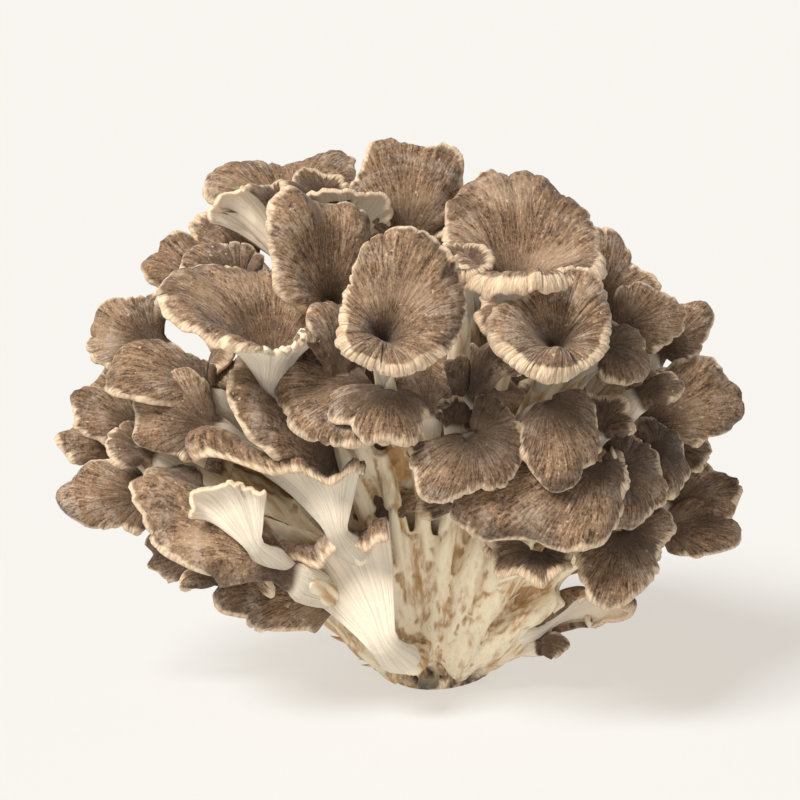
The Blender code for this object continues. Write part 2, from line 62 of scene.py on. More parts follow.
# --- Foot and stalks --------------------------------------------------------------------
FOOT_CENTRE = (3.0, 0.0)        # mm, middle of the flat cut
FOOT_RINGS = (                  # height, half width (X), half depth (Y)
    (-4.0, 14.0, 19.0), (3.0, 15.5, 20.0), (12.0, 17.0, 20.5), (24.0, 17.5, 21.0),
    (38.0, 16.5, 20.0), (54.0, 13.0, 16.0), (68.0, 7.0, 9.0))
FOOT_SIDES = 36
STALK_ROOT_HEIGHT = 12.0        # where the stalks leave the foot
STALK_ROOT_SPREAD = (11.0, 13.0)    # mm from the foot's centre, along X and Y
STALK_ROOT_CLIMB = (0.12, 40.0)    # share of a neck's height above so many mm that lifts its stalk's root
STALK_ROOT_RADIUS = 5.0
STALK_NECK_RADIUS = 2.9
STALK_DROPS = (26.0, 20.0, 14.5, 10.0, 6.5)    # mm below the neck, rings of a frond's own stalk
NARROW_GIRTH = 0.7              # of the usual stalk, for the smallest fronds
FIBRE_SOURCE = (*FOOT_CENTRE, -18.0)    # mm, the point below ground that the stem's fibres fan out from

# --- Frond section ----------------------------------------------------------------------
NECK_RADIUS = 2.5               # the blade starts this far from the neck point
NECK_THICKNESS = 3.2
PROFILE_STOPS = (0.0, 0.35, 0.75, 1.0)   # along a ray, neck to rim: where the habits' slopes hold
RAY_STEPS = 40
STOPS = (0.08, 0.14, 0.2, 0.27, 0.34, 0.41, 0.48, 0.55, 0.62, 0.69, 0.755, 0.81, 0.86, 0.9, 0.935,
         0.965, 0.985, 1.0)     # along a ray: where a frond's points are
NECK_JOIN = (0.25, 0.5, 0.75)   # places of the rows between stalk and blade
RIM_TURNS = (55, 0, -55)        # degrees round the rim, from the upper face to the lower
RIM_SIDES = (0.85, 0.5, 0.15)   # how far those points count as upper side
FEWEST_COLUMNS = 12             # rays of the narrowest frond, less one
MOST_COLUMNS = 190              # and of the finest one
FAR_FROM_RIM = 99               # mm, for points of a stalk
NEAR_NECK = 50                  # mm, the same for the rows that join it to its blade
TONE_STRIDE = 40                # how far apart two fronds' patterns lie
ROLL_TURN = 190.0               # how far a rolled side edge turns under
ROLL_STEPS = 4
REACH_SWELL = 0.05              # share by which broad waves lengthen and shorten the rays
BROAD_WAVE = 22.0               # mm, length of a cap's broad waves
FRILL_HEIGHT = 9.0              # degrees, at the rim
FRILL_WAVES = (15.0, 8.5)       # mm along the rim
CURL_WAVE = 37.0                # mm along the rim, over which the curl loosens and tightens
CURL_FROM = 0.84                # along a ray, where the rim starts to curl

# How a frond rises out of its neck and falls at its rim, as slopes in degrees along a ray:
# habit: (slopes along the longest ray, slopes on the opposite side, waves, wave height)
HABITS = {
    "funnel": ((78, 50, 18, -15), (98, 86, 14, -100), 7, 8),
    "cup": ((64, 46, 18, -20), (86, 83, 68, -60), 7, 8),
    "bell": ((64, 46, 18, -20), (82, 70, 46, -50), 6, 8),
    "bowl": ((42, 30, 12, -18), (90, 87, 72, -60), 6, 8),
    "fan": ((45, 25, 5, -35), (60, 40, 0, -45), 4, 14),
    "ruffle": ((45, 25, 5, -35), (60, 40, 0, -45), 6, 26),
    "trough": ((45, 25, 5, -35), (80, 65, 15, -60), 3, 10),
    "hood": ((30, 0, -25, -60), (28, -5, -28, -60), 6, 8),
    "shelf": ((35, 10, -12, -45), (25, 5, -15, -45), 6, 9),
    "wall": ((45, 32, 10, -150), (50, 38, 10, -150), 4, 9),
    "sheet": ((40, 24, 6, -25), (45, 30, 6, -25), 4, 8),
    "tongue": ((40, 30, -10, -80), (50, 40, -10, -60), 2, 8),
}

CLOSED = ("funnel", "cup", "bell", "bowl")    # round habits: their reach is measured along the ray
SHOWS_UNDERSIDE = ("wall", "sheet")            # habits that turn their pale side to the front


class Frond(NamedTuple):
    """One frond. Ray directions turn from straight up towards the right."""
    name: str
    neck: tuple         # X, Y, Z
    facing: tuple       # way its upper side faces: turn from the front, lift
    longest: float      # direction of its longest ray
    span: tuple         # first and last ray
    reaches: tuple      # reach of evenly spaced rays
    habit: str
    roll: float         # radius of its rolled side edges


CROWN = (
    ("crown_left_cap", (-38, -5, 133), (0, 62), -20, (-110, 75), (14, 26, 21, 22, 26, 18), "fan", 0),
    ("crown_trumpet", (-27, -42, 113), (28, 32), -28, (-140, 70),
     (6, 13, 26, 39, 36, 28, 18), "cup", 3),
    ("trumpet_wall", (-26, -40, 113), (180, 25), 42, (34, 53), (40, 42, 40), "sheet", 0),
    ("crown_small_cap", (-41, -20, 138), (0, 45), -40, (-100, 50), (8, 10, 8, 9, 7), "fan", 0),
    ("crown_wavy_cap", (-29, -20, 140), (0, 45), 0, (-90, 90), (10, 13, 11, 10, 10), "ruffle", 0),
    ("crown_hood", (-22, -17, 131), (180, 40), 0, (-95, 50), (11, 14, 16, 17), "sheet", 0),
    ("crown_middle_fan", (-6, -15, 127), (0, 30), 5, (-50, 52), (22, 26, 29, 30, 29, 21), "fan", 0),
    ("crown_right_funnel", (24, -45, 114), (14, 62), 0, (-100, 260),
     (28, 30, 38, 44, 45, 40, 34, 33, 35, 38, 38, 34, 28), "bell", 0),
    ("crown_right_back", (48, -10, 110), (20, 35), 45, (-25, 120), (20, 21, 19, 18, 8), "fan", 0),
    ("crown_button", (10, -54, 125), (0, 55), 0, (-180, 180), (10, 11, 12, 12, 12, 11, 10), "cup", 0),
)
HEART = (
    ("heart_funnel", (-12, -73, 110), (4, 30), 22, (-80, 262),
     (20, 22, 29, 35, 37, 35, 29, 25, 25, 26, 27, 27, 24), "funnel", 0),
    ("right_funnel", (34, -62, 106), (5, 32), -10, (-60, 318),
     (21, 23, 26, 27, 24, 22, 24, 27, 29, 30, 31, 28, 23), "funnel", 0),
    ("pale_tongue", (12, -62, 94), (-40, 40), 25, (0, 45), (18, 22, 20), "tongue", 2),
    ("small_hook", (9, -60, 93), (0, 40), 0, (-15, 15), (11, 12, 11), "tongue", 1.2),
    ("small_knob", (8, -64, 88), (0, 30), 10, (-50, 60), (7, 8, 7), "hood", 0),
    ("left_cup", (-42, -55, 98), (35, 62), -20, (-100, 260),
     (33, 38, 41, 41, 37, 31, 27, 26, 26, 27, 29, 31, 33), "bowl", 0),
    ("left_cup_lobe", (-24, -62, 101), (40, 38), 30, (-30, 60), (12, 20, 20, 15), "tongue", 0),
    ("deep_trough", (-26, -45, 69), (35, 35), -36, (-105, 45),
     (12, 33, 47, 42, 36, 26), "bowl", 3.6),
    ("trough_lip", (-23, -59, 55), (180, 35), 42, (-18, 64), (22, 20, 21, 30, 44), "wall", 0),
    ("ram_horn", (-15, -62, 96), (-10, 45), -100, (-200, -40), (16, 18, 22, 26, 16), "shelf", 0),
    ("under_band", (-10, -66, 97), (0, 58), -160, (-240, -95), (12, 17, 16, 16, 17), "hood", 0),
    ("drooping_hood", (12, -72, 86), (5, 35), 150, (15, 258), (13, 14, 14, 15, 14, 20, 17), "hood", 0),
    ("inner_hood", (32, -64, 94), (15, 38), 160, (85, 230), (12, 16, 21, 22, 12), "hood", 0),
    ("dark_curl", (47, -52, 84), (10, 40), 0, (-100, 100), (8, 9, 9, 9, 8), "ruffle", 0),
)
RIGHT = (
    ("right_shoulder", (48, -48, 106), (25, 30), 110, (-10, 190), (8, 9, 13, 13, 9), "hood", 0),
    ("big_shelf", (47, -58, 76), (5, 40), -130, (-300, -85), (6, 7, 9, 12, 24, 30, 42, 34), "shelf", 0),
    ("shelf_neighbour", (52, -50, 72), (20, 30), 110, (0, 190), (12, 13, 15, 15, 14), "hood", 0),
    ("shelf_outer", (63, -35, 74), (35, 35), 100, (-10, 175), (9, 9, 12, 13, 12), "hood", 0),
    ("right_high_fan", (53, -20, 104), (25, 30), 70, (10, 130), (12, 16, 20, 19, 12), "fan", 0),
    ("right_far_fan", (66, 0, 95), (35, 40), 75, (20, 120), (14, 17, 21, 15, 12), "fan", 0),
    ("right_wide_fan", (60, -20, 77), (25, 25), 70, (20, 115), (17, 25, 30, 28, 18), "fan", 0),
    ("right_curl", (59, -38, 90), (10, 45), 75, (45, 105), (9, 12, 9), "tongue", 0),
    ("right_small_fan", (72, -15, 70), (40, 25), 95, (60, 150), (9, 10, 8), "fan", 0),
    ("right_low_fan", (71, -10, 52), (25, 35), 75, (10, 115), (12, 15, 20, 16), "fan", 0),
    ("right_lowest_fan", (66, -15, 46), (30, 30), 105, (60, 150), (15, 19, 22, 18, 10), "fan", 0),
)
LEFT = (
    ("left_inner_fill", (-46, -27, 84), (-50, 42), 0, (-85, 85), (17, 20, 22, 20, 17), "fan", 0),
    ("left_high_fan", (-76, -5, 97), (-25, 32), -80, (-135, -5), (14, 21, 19, 16, 13), "fan", 0),
    ("left_wide_fan", (-60, -34, 90), (-5, 58), -85, (-140, 0), (9, 25, 29, 22, 13, 7), "fan", 0),
    ("left_shoulder", (-60, 0, 113), (-15, 42), -65, (-110, 0), (13, 21, 21, 16, 15), "fan", 0),
    ("left_crest", (-50, 5, 119), (-10, 35), -40, (-90, 10), (12, 19, 20, 18, 15), "fan", 0),
    ("left_inner_crest", (-51, -25, 117), (-10, 45), -50, (-100, 20), (18, 17, 14, 11), "fan", 0),
    ("left_outer_high", (-80, -5, 79), (-30, 35), -70, (-110, -30), (13, 17, 17, 12), "fan", 0),
    ("left_outer_middle", (-80, -15, 75), (-15, 45), -80, (-125, -40), (12, 19, 21, 14), "fan", 0),
    ("left_outer_low", (-84, -8, 67), (-15, 45), -85, (-110, -60), (16, 20, 18, 14), "fan", 0),
    ("left_disc", (-59, -42, 82), (-15, 20), -80, (-140, -10), (11, 20, 23, 20, 12), "shelf", 0),
    ("left_small_disc", (-76, -35, 73), (-20, 35), -85, (-125, -45), (9, 13, 13, 10), "fan", 0),
    ("left_big_shelf", (-77, -30, 59), (-15, 25), -95, (-160, -40), (11, 14, 25, 23, 13), "shelf", 0),
    ("left_small_shelf", (-63, -45, 64), (-10, 60), -60, (-115, -10), (14, 17, 14, 9), "shelf", 0),
)
LOW = (
    ("low_right_shelf", (53, -52, 54), (15, 45), 170, (40, 255), (12, 16, 13, 17, 22, 15), "shelf", 0),
    ("low_ruffle", (30, -60, 51), (0, 55), 180, (90, 270), (11, 11, 12, 13, 13), "ruffle", 0),
    ("low_ruffle_tip", (24, -57, 54), (0, 50), 240, (180, 290), (7, 9, 8), "ruffle", 0),
    ("low_right_tongue", (28, -24, 20), (180, 42), -84, (-106, -60), (24, 31, 22), "tongue", 1.5),
    ("foot_flake", (31, -25, 15), (0, 30), 90, (70, 110), (7, 9, 7), "tongue", 0),
    ("long_trough", (-36, -58, 44), (-10, 52), -72, (-98, -50), (24, 38, 47, 46, 34), "trough", 4),
    ("golden_rim", (-45, -62, 52), (180, 20), 30, (-5, 66), (17, 20, 22, 22), "sheet", 0),
    ("low_left_fan", (-64, -27, 42), (-30, 10), -110, (-140, -55), (12, 17, 17, 14), "shelf", 0),
    ("low_left_tip", (-56, -35, 38), (-10, 40), -108, (-120, -96), (12, 14, 11), "tongue", 0),
    ("low_left_shelf", (-22, -38, 33), (-5, 40), -90, (-135, -60), (15, 25, 34, 34, 22), "shelf", 0),
    ("rolled_wall", (-8, -53, 20), (180, 25), 36, (4, 68), (36, 36, 37, 40, 42), "wall", 0),
)

# The unseen back and the shaded heart carry the same kinds of frond in tiers: name, fronds,
# first turn, last turn, neck distance from the axis, neck height, lift, mean reach
TIERS = (
    ("back_low", 4, 95, 265, 46, 37, 26, 24),
    ("back_wide", 5, 90, 270, 60, 60, 30, 25),
    ("back_middle", 6, 88, 272, 60, 85, 36, 26),
    ("back_high", 4, 104, 258, 44, 106, 46, 24),
    ("back_crown", 2, 118, 245, 24, 119, 60, 22),
    ("top", 2, 60, 200, 9, 124, 76, 18),
    ("inner_low", 6, -95, 95, 42, 58, 22, 19),
    ("inner_middle", 6, -90, 90, 40, 88, 28, 20),
    ("inner_high", 3, -70, 70, 26, 110, 42, 17),
    ("inner_side", 4, 75, 150, 30, 106, 40, 19),
    ("inner_side_far", 4, -75, -150, 30, 106, 40, 19),
    ("inner_side_low", 3, 70, 120, 46, 72, 30, 19),
    ("inner_front", 3, -45, 45, 44, 84, 30, 16),
    ("inner_back_low", 5, 112, 248, 38, 48, 30, 20),
    ("inner_back", 6, 100, 260, 42, 74, 34, 21),
    ("inner_back_high", 4, 112, 248, 34, 98, 44, 19),
)
TIER_HABITS = ("fan", "shelf", "fan", "hood", "shelf", "shelf", "fan")
TIER_SWAY = 2.0                 # mm, how much the loop shifts the necks
TIER_HALF_SPAN = (80.0, 12.0)   # degrees from a tier frond's longest ray to its last, and how much it varies
TIER_SKEW = 25.0                # degrees, how far the longest ray leans to a side
TIER_TURN = 10.0                # degrees, how far a tier frond turns out of its row
TIER_TILT = 8.0                 # degrees, how far it lies flatter or steeper


def tier_frond(name, number, turn, distance, height, lift, reach):
    """One frond of a tier, varied by a fixed turn from its neighbours."""
    sway = math.sin(math.radians(GOLDEN_TURN * number))
    swing = math.cos(math.radians(GOLDEN_TURN * number))
    half_span = TIER_HALF_SPAN[0] + TIER_HALF_SPAN[1] * swing
    reaches = [reach * (0.78 + 0.16 * math.cos(0.9 * k + number) + (0.16 if k in (2, 3) else 0))
               for k in range(6)]
    side = math.radians(turn)
    out = distance + TIER_SWAY * sway
    neck = (out * math.sin(side), -out * math.cos(side), height + 2 * TIER_SWAY * swing)
    longest = TIER_SKEW * sway
    span = (longest - half_span, longest + half_span)
    habit = TIER_HABITS[number % len(TIER_HABITS)]
    facing = (turn + TIER_TURN * swing, lift + TIER_TILT * sway)
    return Frond(name, neck, facing, longest, span, reaches, habit, 0)


def tier_fronds():
    """Every frond of the tiers."""
    rows = []
    for kind, count, first, last, distance, height, lift, reach in TIERS:
        for step in range(count):
            turn = first + (last - first) * step / (count - 1)
            name = "%s_%d" % (kind, step + 1)
            rows.append(tier_frond(name, len(rows), turn, distance, height, lift, reach))
    return tuple(rows)


TIER_ROWS = tier_fronds()
FRONDS = tuple(Frond(*row) for row in CROWN + HEART + RIGHT + LEFT + LOW + TIER_ROWS)
# Fronds whose blade starts further out and thicker: start, thickness
THICK_NECKS = {"rolled_wall": (4.0, 9.0), "low_right_tongue": (3.5, 6.0), "golden_rim": (3.0, 4.5)}
# Thickness of single stalks against the usual one
STOUT_STALKS = {"rolled_wall": 1.25, "low_right_tongue": 1.7, "big_shelf": 1.4,
                "low_right_shelf": 1.4, "drooping_hood": 1.3, "deep_trough": 1.3, "long_trough": 1.2}
NARROW_STALKS = {"small_hook", "small_knob", "foot_flake", "crown_small_cap", "low_left_tip"}


def tier_group(*kinds):
    """The rows of the tiers whose names start in one of these ways."""
    return tuple(row for row in TIER_ROWS if row[0].startswith(kinds))


# Groups of fronds: what the operator says, rows, width of a face along the rim in mm
GROUPS = {
    "crown_fronds": ("Build the fronds of the crown", CROWN, 0.85),
    "heart_fronds": ("Build the funnels and hoods in the middle of the front", HEART, 0.8),
    "right_fronds": ("Build the fronds of the right side", RIGHT, 0.85),
    "left_fronds": ("Build the fronds of the left side", LEFT, 0.85),
    "low_fronds": ("Build the low fronds round the stem", LOW, 0.85),
    "back_fronds": ("Build the lower tiers of the back", tier_group("back_low", "back_wide"), 1.05),
    "upper_back_fronds": ("Build the upper tiers of the back and the top",
                          tier_group("back_middle", "back_high", "back_crown", "top"), 1.05),
    "inner_fronds": ("Build the shaded fronds inside the cluster", tier_group("inner"), 1.6),
}


# --- Sizes and colours a user would change ----------------------------------------------
def length(name, text, default, high):
    """A length setting, in metres."""
    return bpy.props.FloatProperty(name=name, description=text, default=default, min=0.0, max=high,
                                   precision=5, unit="LENGTH")


def amount(name, text, default):
    """A whole number setting."""
    return bpy.props.IntProperty(name=name, description=text, default=default, min=0)


def colour(name, text, default):
    """A colour setting."""
    return bpy.props.FloatVectorProperty(name=name, description=text, default=default, size=3,
                                         min=0.0, max=1.0, subtype="COLOR")


class MaitakeSizes(bpy.types.PropertyGroup):
    """Sizes of the fine relief of the fronds and stem."""
    lobe_width: length("Lobe width", "Width of one scallop along a rim", 0.0046, 0.02)
    lobe_depth: length("Lobe depth", "How far the rim draws back between two scallops", 0.0009, 0.004)
    furrow_depth: length("Furrow depth", "Depth of the furrows behind the notches", 0.00045, 0.002)
    furrow_length: length("Furrow length", "How far a furrow runs in from the rim", 0.008, 0.03)
    waviness: length("Waviness", "Height of the broad waves of a cap", 0.0011, 0.005)
    rim_thickness: length("Rim thickness", "Thickness of a frond at its rim", 0.0015, 0.004)
    side_roll: length("Side roll", "Smallest radius of a rolled side edge", 0.0011, 0.005)
    fibre_depth: length("Fibre depth", "Depth of the grooves along the stem", 0.0007, 0.003)
    stem_grain: length("Stem grain", "Finest detail of the fused stem", 0.0008, 0.003)
    rim_curl: bpy.props.FloatProperty(name="Rim curl", description="Extra downward turn of the last of a ray",
                                      default=math.radians(48), min=0, max=math.pi, subtype="ANGLE")
    seed: amount("Seed", "Fixes the place of splinters and crumbs", 7)
    splinters: amount("Splinters", "Torn fibres per square metre of stem", 16000)
    crumbs: amount("Crumbs", "Soil crumbs per square metre of foot", 60000)


class MaitakeColours(bpy.types.PropertyGroup):
    """Colours of the finish."""
    cap_dark: colour("Cap dark", "Darkest brown of a cap", (0.050, 0.028, 0.016))
    cap_brown: colour("Cap brown", "Main brown of a cap", (0.235, 0.140, 0.078))
    cap_light: colour("Cap light", "Light fibrils of a cap", (0.54, 0.385, 0.25))
    bloom: colour("Bloom", "Greyish bloom of the outer zones", (0.43, 0.345, 0.27))
    margin: colour("Margin", "Pale band along a rim", (0.80, 0.63, 0.44))
    under: colour("Underside", "Pale pore surface and stalks", (0.82, 0.72, 0.58))
    under_line: colour("Underside line", "Fine lines that run down the underside", (0.50, 0.40, 0.285))
    stem: colour("Stem", "Cream flesh of the stem", (0.90, 0.79, 0.59))
    stain: colour("Stain", "Ochre stains of the stem", (0.50, 0.30, 0.135))
    soil: colour("Soil", "Soil left on the cut foot", (0.030, 0.020, 0.013))
    floor: colour("Floor", "Plain floor", (0.96, 0.94, 0.905))


# --- Frond surface ----------------------------------------------------------------------
def smooth(edge_0, edge_1, value):
    """Smooth step from 0 at edge_0 to 1 at edge_1."""
    part = np.clip((value - edge_0) / (edge_1 - edge_0), 0, 1)
    return part * part * (3 - 2 * part)


def ripple(points, wavelength, seed):
    """Soft irregular field over points in space, about -1 to 1."""
    total = np.zeros(points.shape[:-1])
    for step in range(6):
        turn = GOLDEN_TURN * (step + 1) + 61 * seed
        lean = math.cos(math.radians(97 * step + 29 * seed))
        way = np.array((math.cos(math.radians(turn)) * math.sqrt(1 - lean * lean),
                        math.sin(math.radians(turn)) * math.sqrt(1 - lean * lean), lean))
        scale = 0.75 + 0.12 * step
        total += np.sin(points @ way * 2 * math.pi / (wavelength * scale) + 1.7 * step + seed)
    return total / 3


def facing_axes(facing, lift):
    """Up-slope, sideways and outward directions of a frond's plane."""
    turn, rise = math.radians(facing), math.radians(lift)
    outward = np.array((math.sin(turn) * math.cos(rise), -math.cos(turn) * math.cos(rise), math.sin(rise)))
    upslope = np.array((-math.sin(turn) * math.sin(rise), math.cos(turn) * math.sin(rise), math.cos(rise)))
    return upslope, np.cross(upslope, outward), outward


def spread(values, places):
    """Smooth curve through evenly spaced values, read at places from 0 to 1."""
    values = np.array(values, float)
    last = len(values) - 1
    where = np.clip(places * last, 0, last - 1e-9)
    left = where.astype(int)
    part = where - left
    a, b, c, d = (values[np.clip(left + k, 0, last)] for k in (-1, 0, 1, 2))
    return b + 0.5 * part * (c - a + part * (2 * a - 5 * b + 4 * c - d + part * (3 * (b - c) + d - a)))


def phases(name):
    """Two fixed angles that make each frond's waves its own."""
    code = sum((k + 1) * ord(letter) for k, letter in enumerate(name))
    return math.radians(code * 37 % 360), math.radians(code * 73 % 360)


def lobes(arc, name, width):
    """Rounded lobes along a rim, 0 at a notch to 1 at a crest, and how strong they are there."""
    one, two = phases(name)
    warp = 1.3 * np.sin(arc * 2 * math.pi / 31 + one) + 0.8 * np.sin(arc * 2 * math.pi / 13 + two)
    lobe = np.abs(np.sin(math.pi * arc / width + warp))
    fine = np.abs(np.sin(math.pi * arc / (0.43 * width) + 2 * warp + 1))
    strength = 0.55 + 0.45 * np.sin(arc * 2 * math.pi / 23 + one + two)
    return 0.75 * lobe + 0.25 * fine, strength


def ray_slopes(frond, degrees, place, arc, sizes):
    """Slope of each ray in radians at every step from the neck to the rim."""
    far, near, waves, wave = HABITS[frond.habit]
    turned = np.abs((degrees - frond.longest + 180) % 360 - 180)
    opposite = (1 - np.cos(np.radians(turned))) / 2
    one, two = phases(frond.name)
    along = (np.arange(RAY_STEPS) + 0.5) / RAY_STEPS
    far_slope = np.interp(along, PROFILE_STOPS, far)
    near_slope = np.interp(along, PROFILE_STOPS, near)
    slope = far_slope + (near_slope - far_slope) * opposite[:, None]
    slope = slope + wave * along ** 2 * np.sin(math.pi * place * waves + one)[:, None]
    slow, quick = (arc * 2 * math.pi / wave_length for wave_length in FRILL_WAVES)
    frill = np.sin(slow + two) + 0.7 * np.sin(quick + one)
    slope = slope + FRILL_HEIGHT * along ** 4 * frill[:, None]
    curl = math.degrees(sizes.rim_curl) * (0.75 + 0.35 * np.sin(arc * 2 * math.pi / CURL_WAVE + one))
    curl = curl * (0 if frond.habit in SHOWS_UNDERSIDE else 1)
    return np.radians(slope - smooth(CURL_FROM, 1.0, along) * curl[:, None])


def swept_rays(frond, degrees, slope, reach, start):
    """Points at every step of every ray, which leave the neck at a distance of start."""
    upslope, sideways, outward = facing_axes(*frond.facing)
    first_step = np.zeros((len(degrees), 1))
    out = np.concatenate((first_step, np.cumsum(np.cos(slope), 1)), 1)
    up = np.concatenate((first_step, np.cumsum(np.sin(slope), 1)), 1)
    whole_ray = RAY_STEPS if frond.habit in CLOSED else out.max(1)
    size = ((reach - start) / whole_ray)[:, None]
    angle = np.radians(degrees)[:, None]
    ray = np.cos(angle) * upslope + np.sin(angle) * sideways
    points = np.array(frond.neck, float) + (start + out * size)[..., None] * ray[:, None]
    return points + (up * size)[..., None] * outward


def blade(frond, columns, sizes):
    """Middle surface of a frond, points[column, stop] in millimetres, and its rays' angles."""
    start = THICK_NECKS.get(frond.name, (NECK_RADIUS, 0))[0]
    first, last = frond.span
    place = np.linspace(0, 1, columns + 1)
    degrees = first + (last - first) * place
    arc = np.radians(degrees - first) * sum(frond.reaches) / len(frond.reaches)
    lobe, strength = lobes(arc, frond.name, sizes.lobe_width / MM)
    swell = REACH_SWELL * np.sin(1.2 * math.pi * place * HABITS[frond.habit][2] + phases(frond.name)[1])
    reach = spread(frond.reaches, place) * (1 + swell)
    reach = reach + sizes.lobe_depth / MM * (lobe - 0.85) * (0.4 + 0.6 * strength)
    slope = ray_slopes(frond, degrees, place, arc, sizes)
    points = swept_rays(frond, degrees, slope, reach, start)
    where = np.array(STOPS) * RAY_STEPS
    left = np.minimum(where.astype(int), RAY_STEPS - 1)
    points = points[:, left] + (points[:, left + 1] - points[:, left]) * (where - left)[None, :, None]
    stop = np.array(STOPS)[None, :]
    lift_up = sizes.waviness / MM * ripple(points, BROAD_WAVE, 3) * smooth(0.1, 0.6, stop)
    inward = (1 - stop) * (reach[:, None] - start)
    near_rim = 1 - smooth(0, sizes.furrow_length / MM, inward)
    furrow = (1 - lobe) ** 1.4 * (0.35 + 0.65 * strength)
    lift_up = lift_up - 2.2 * sizes.furrow_depth / MM * furrow[:, None] * near_rim
    points = points + lift_up[..., None] * surface_normals(points, facing_axes(*frond.facing)[2])
    return points, np.radians(degrees)


def surface_normals(points, outward):
    """Unit normals of a grid of points, on the side that the frond's upper face is."""
    across = np.gradient(points, axis=0)
    along = np.gradient(points, axis=1)
    normals = np.cross(along, across)
    normals /= np.linalg.norm(normals, axis=2, keepdims=True) + 1e-9
    middle = normals[len(points) // 2, points.shape[1] // 2]
    return normals if middle @ outward > 0 else -normals


def with_rolled_sides(points, turns, outward, radius, seed):
    """Both straight side edges turned under into a small roll of changing tightness."""
    normals = surface_normals(points, outward)
    part = np.linspace(0, 1, points.shape[1])
    parts = []
    for side, inner in ((0, 1), (-1, -2)):
        wave = 1 + 0.3 * np.sin(7 * part + seed + side)
        curl = (radius * wave * np.clip(part / 0.35, 0.15, 1) ** 0.8)[:, None]
        along = np.gradient(points[side], axis=0)
        beyond = np.cross(normals[side], along)
        beyond /= np.linalg.norm(beyond, axis=1, keepdims=True) + 1e-9
        if (beyond * (points[side] - points[inner])).sum() < 0:
            beyond = -beyond
        rolled = []
        for step in range(1, ROLL_STEPS + 1):
            turn = math.radians(ROLL_TURN) * step / ROLL_STEPS
            under = math.sin(turn) * beyond - (1 - math.cos(turn)) * normals[side]
            rolled.append(points[side] + curl * under)
        parts.append(np.array(rolled))
    extra = np.radians(1.5) * np.arange(1, ROLL_STEPS + 1)
    turns = np.concatenate((turns[0] - extra[::-1], turns, turns[-1] + extra))
    return np.concatenate((parts[0][::-1], points, parts[1]), 0), turns


def stalk_path(frond, steps):
    """Centre line of a stalk, from the foot up into the neck of its frond."""
    neck = np.array(frond.neck, float)
    upslope, sideways, outward = facing_axes(*frond.facing)
    far = math.radians(frond.longest)
    longest = math.cos(far) * upslope + math.sin(far) * sideways
    lean = 0.8 if frond.habit in CLOSED else 0.3
    arrival = lean * outward + (1 - lean) * longest
    arrival /= np.linalg.norm(arrival)
    away = math.atan2(neck[1], neck[0])
    climb, from_height = STALK_ROOT_CLIMB
    root = np.array((FOOT_CENTRE[0] + STALK_ROOT_SPREAD[0] * math.cos(away),
                     FOOT_CENTRE[1] + STALK_ROOT_SPREAD[1] * math.sin(away),
                     STALK_ROOT_HEIGHT + climb * max(0, neck[2] - from_height)))
    root[2] = min(root[2], 0.5 * neck[2])
    length = np.linalg.norm(neck - root)
    rise = np.array((0.004 * neck[0], 0.004 * neck[1], min(1.0, neck[2] / 70)))
    first = root + rise * 0.4 * length
    straight = neck - arrival * 0.28 * length
    inside = np.array((0.72 * neck[0], 0.72 * neck[1], neck[2] - 0.25 * length))
    second = 0.4 * straight + 0.6 * inside
    end = neck - arrival if frond.habit in CLOSED else neck + arrival * 2.0
    t = np.linspace(0, 1, steps + 1)[:, None]
    return (1 - t) ** 3 * root + 3 * (1 - t) ** 2 * t * first + 3 * (1 - t) * t ** 2 * second + t ** 3 * end


def girth(frond):
    """How stout a frond's stalk is, against the usual one."""
    return STOUT_STALKS.get(frond.name, NARROW_GIRTH if frond.name in NARROW_STALKS else 1)


def square_to(vector, tangent):
    """The unit vector square to a tangent that is nearest to a vector."""
    square = vector - tangent * (vector @ tangent)
    return square / np.linalg.norm(square)


def round_ring(centre, radius, tangent, frond, turns):
    """A ring of points all round a stalk, one for each ray."""
    upslope, sideways, _ = facing_axes(*frond.facing)
    side = square_to(upslope, tangent)
    other = np.cross(tangent, side)
    if other @ sideways < 0:
        other = -other
    turn = turns[0] + (turns - turns[0]) * 2 * math.pi / (turns[-1] - turns[0])
    return centre + radius * (np.cos(turn)[:, None] * side + np.sin(turn)[:, None] * other)


def flat_rows(centre, radius, tangent, frond, turns, flatness):
    """The upper and the lower half of a flattened ring round a stalk, one point for each ray."""
    upslope, sideways, outward = facing_axes(*frond.facing)
    far = math.radians(frond.longest)
    side = square_to(-math.sin(far) * upslope + math.cos(far) * sideways, tangent)
    face = square_to(outward, tangent)
    turn = (np.linspace(0, 1, len(turns)) - 0.5) * math.pi * 0.96
    sweep = radius * flatness * np.sin(turn)[:, None] * side
    depth = radius * np.cos(turn)[:, None] * face
    return centre + sweep + depth, centre + sweep - depth


def stalk_rings(frond, turns, closed):
    """Rings of the stalk below a frond: upper row, lower row, tangent and height against the neck."""
    path = stalk_path(frond, 80)
    travelled = np.concatenate(((0,), np.cumsum(np.linalg.norm(np.diff(path, axis=0), axis=1))))
    drops = [drop * min(1.0, travelled[-1] * 0.45 / STALK_DROPS[0]) for drop in STALK_DROPS]
    rings = []
    for drop in drops:
        where = travelled[-1] - drop
        centre = np.array([np.interp(where, travelled, path[:, k]) for k in range(3)])
        ahead = np.array([np.interp(where + 1, travelled, path[:, k]) for k in range(3)])
        tangent = (ahead - centre) / np.linalg.norm(ahead - centre)
        share = where / travelled[-1]
        rise = 1 - drop / drops[0]
        radius = (STALK_ROOT_RADIUS + (STALK_NECK_RADIUS - STALK_ROOT_RADIUS) * share) * girth(frond)
        radius *= 0.45 + 0.63 * rise
        if closed:
            ring = round_ring(centre, radius, tangent, frond, turns)
            rings.append((ring, ring, tangent, -drop))
        else:
            rows = flat_rows(centre, radius, tangent, frond, turns, 1.2 + 0.5 * rise)
            rings.append((*rows, tangent, -drop))
    return rings


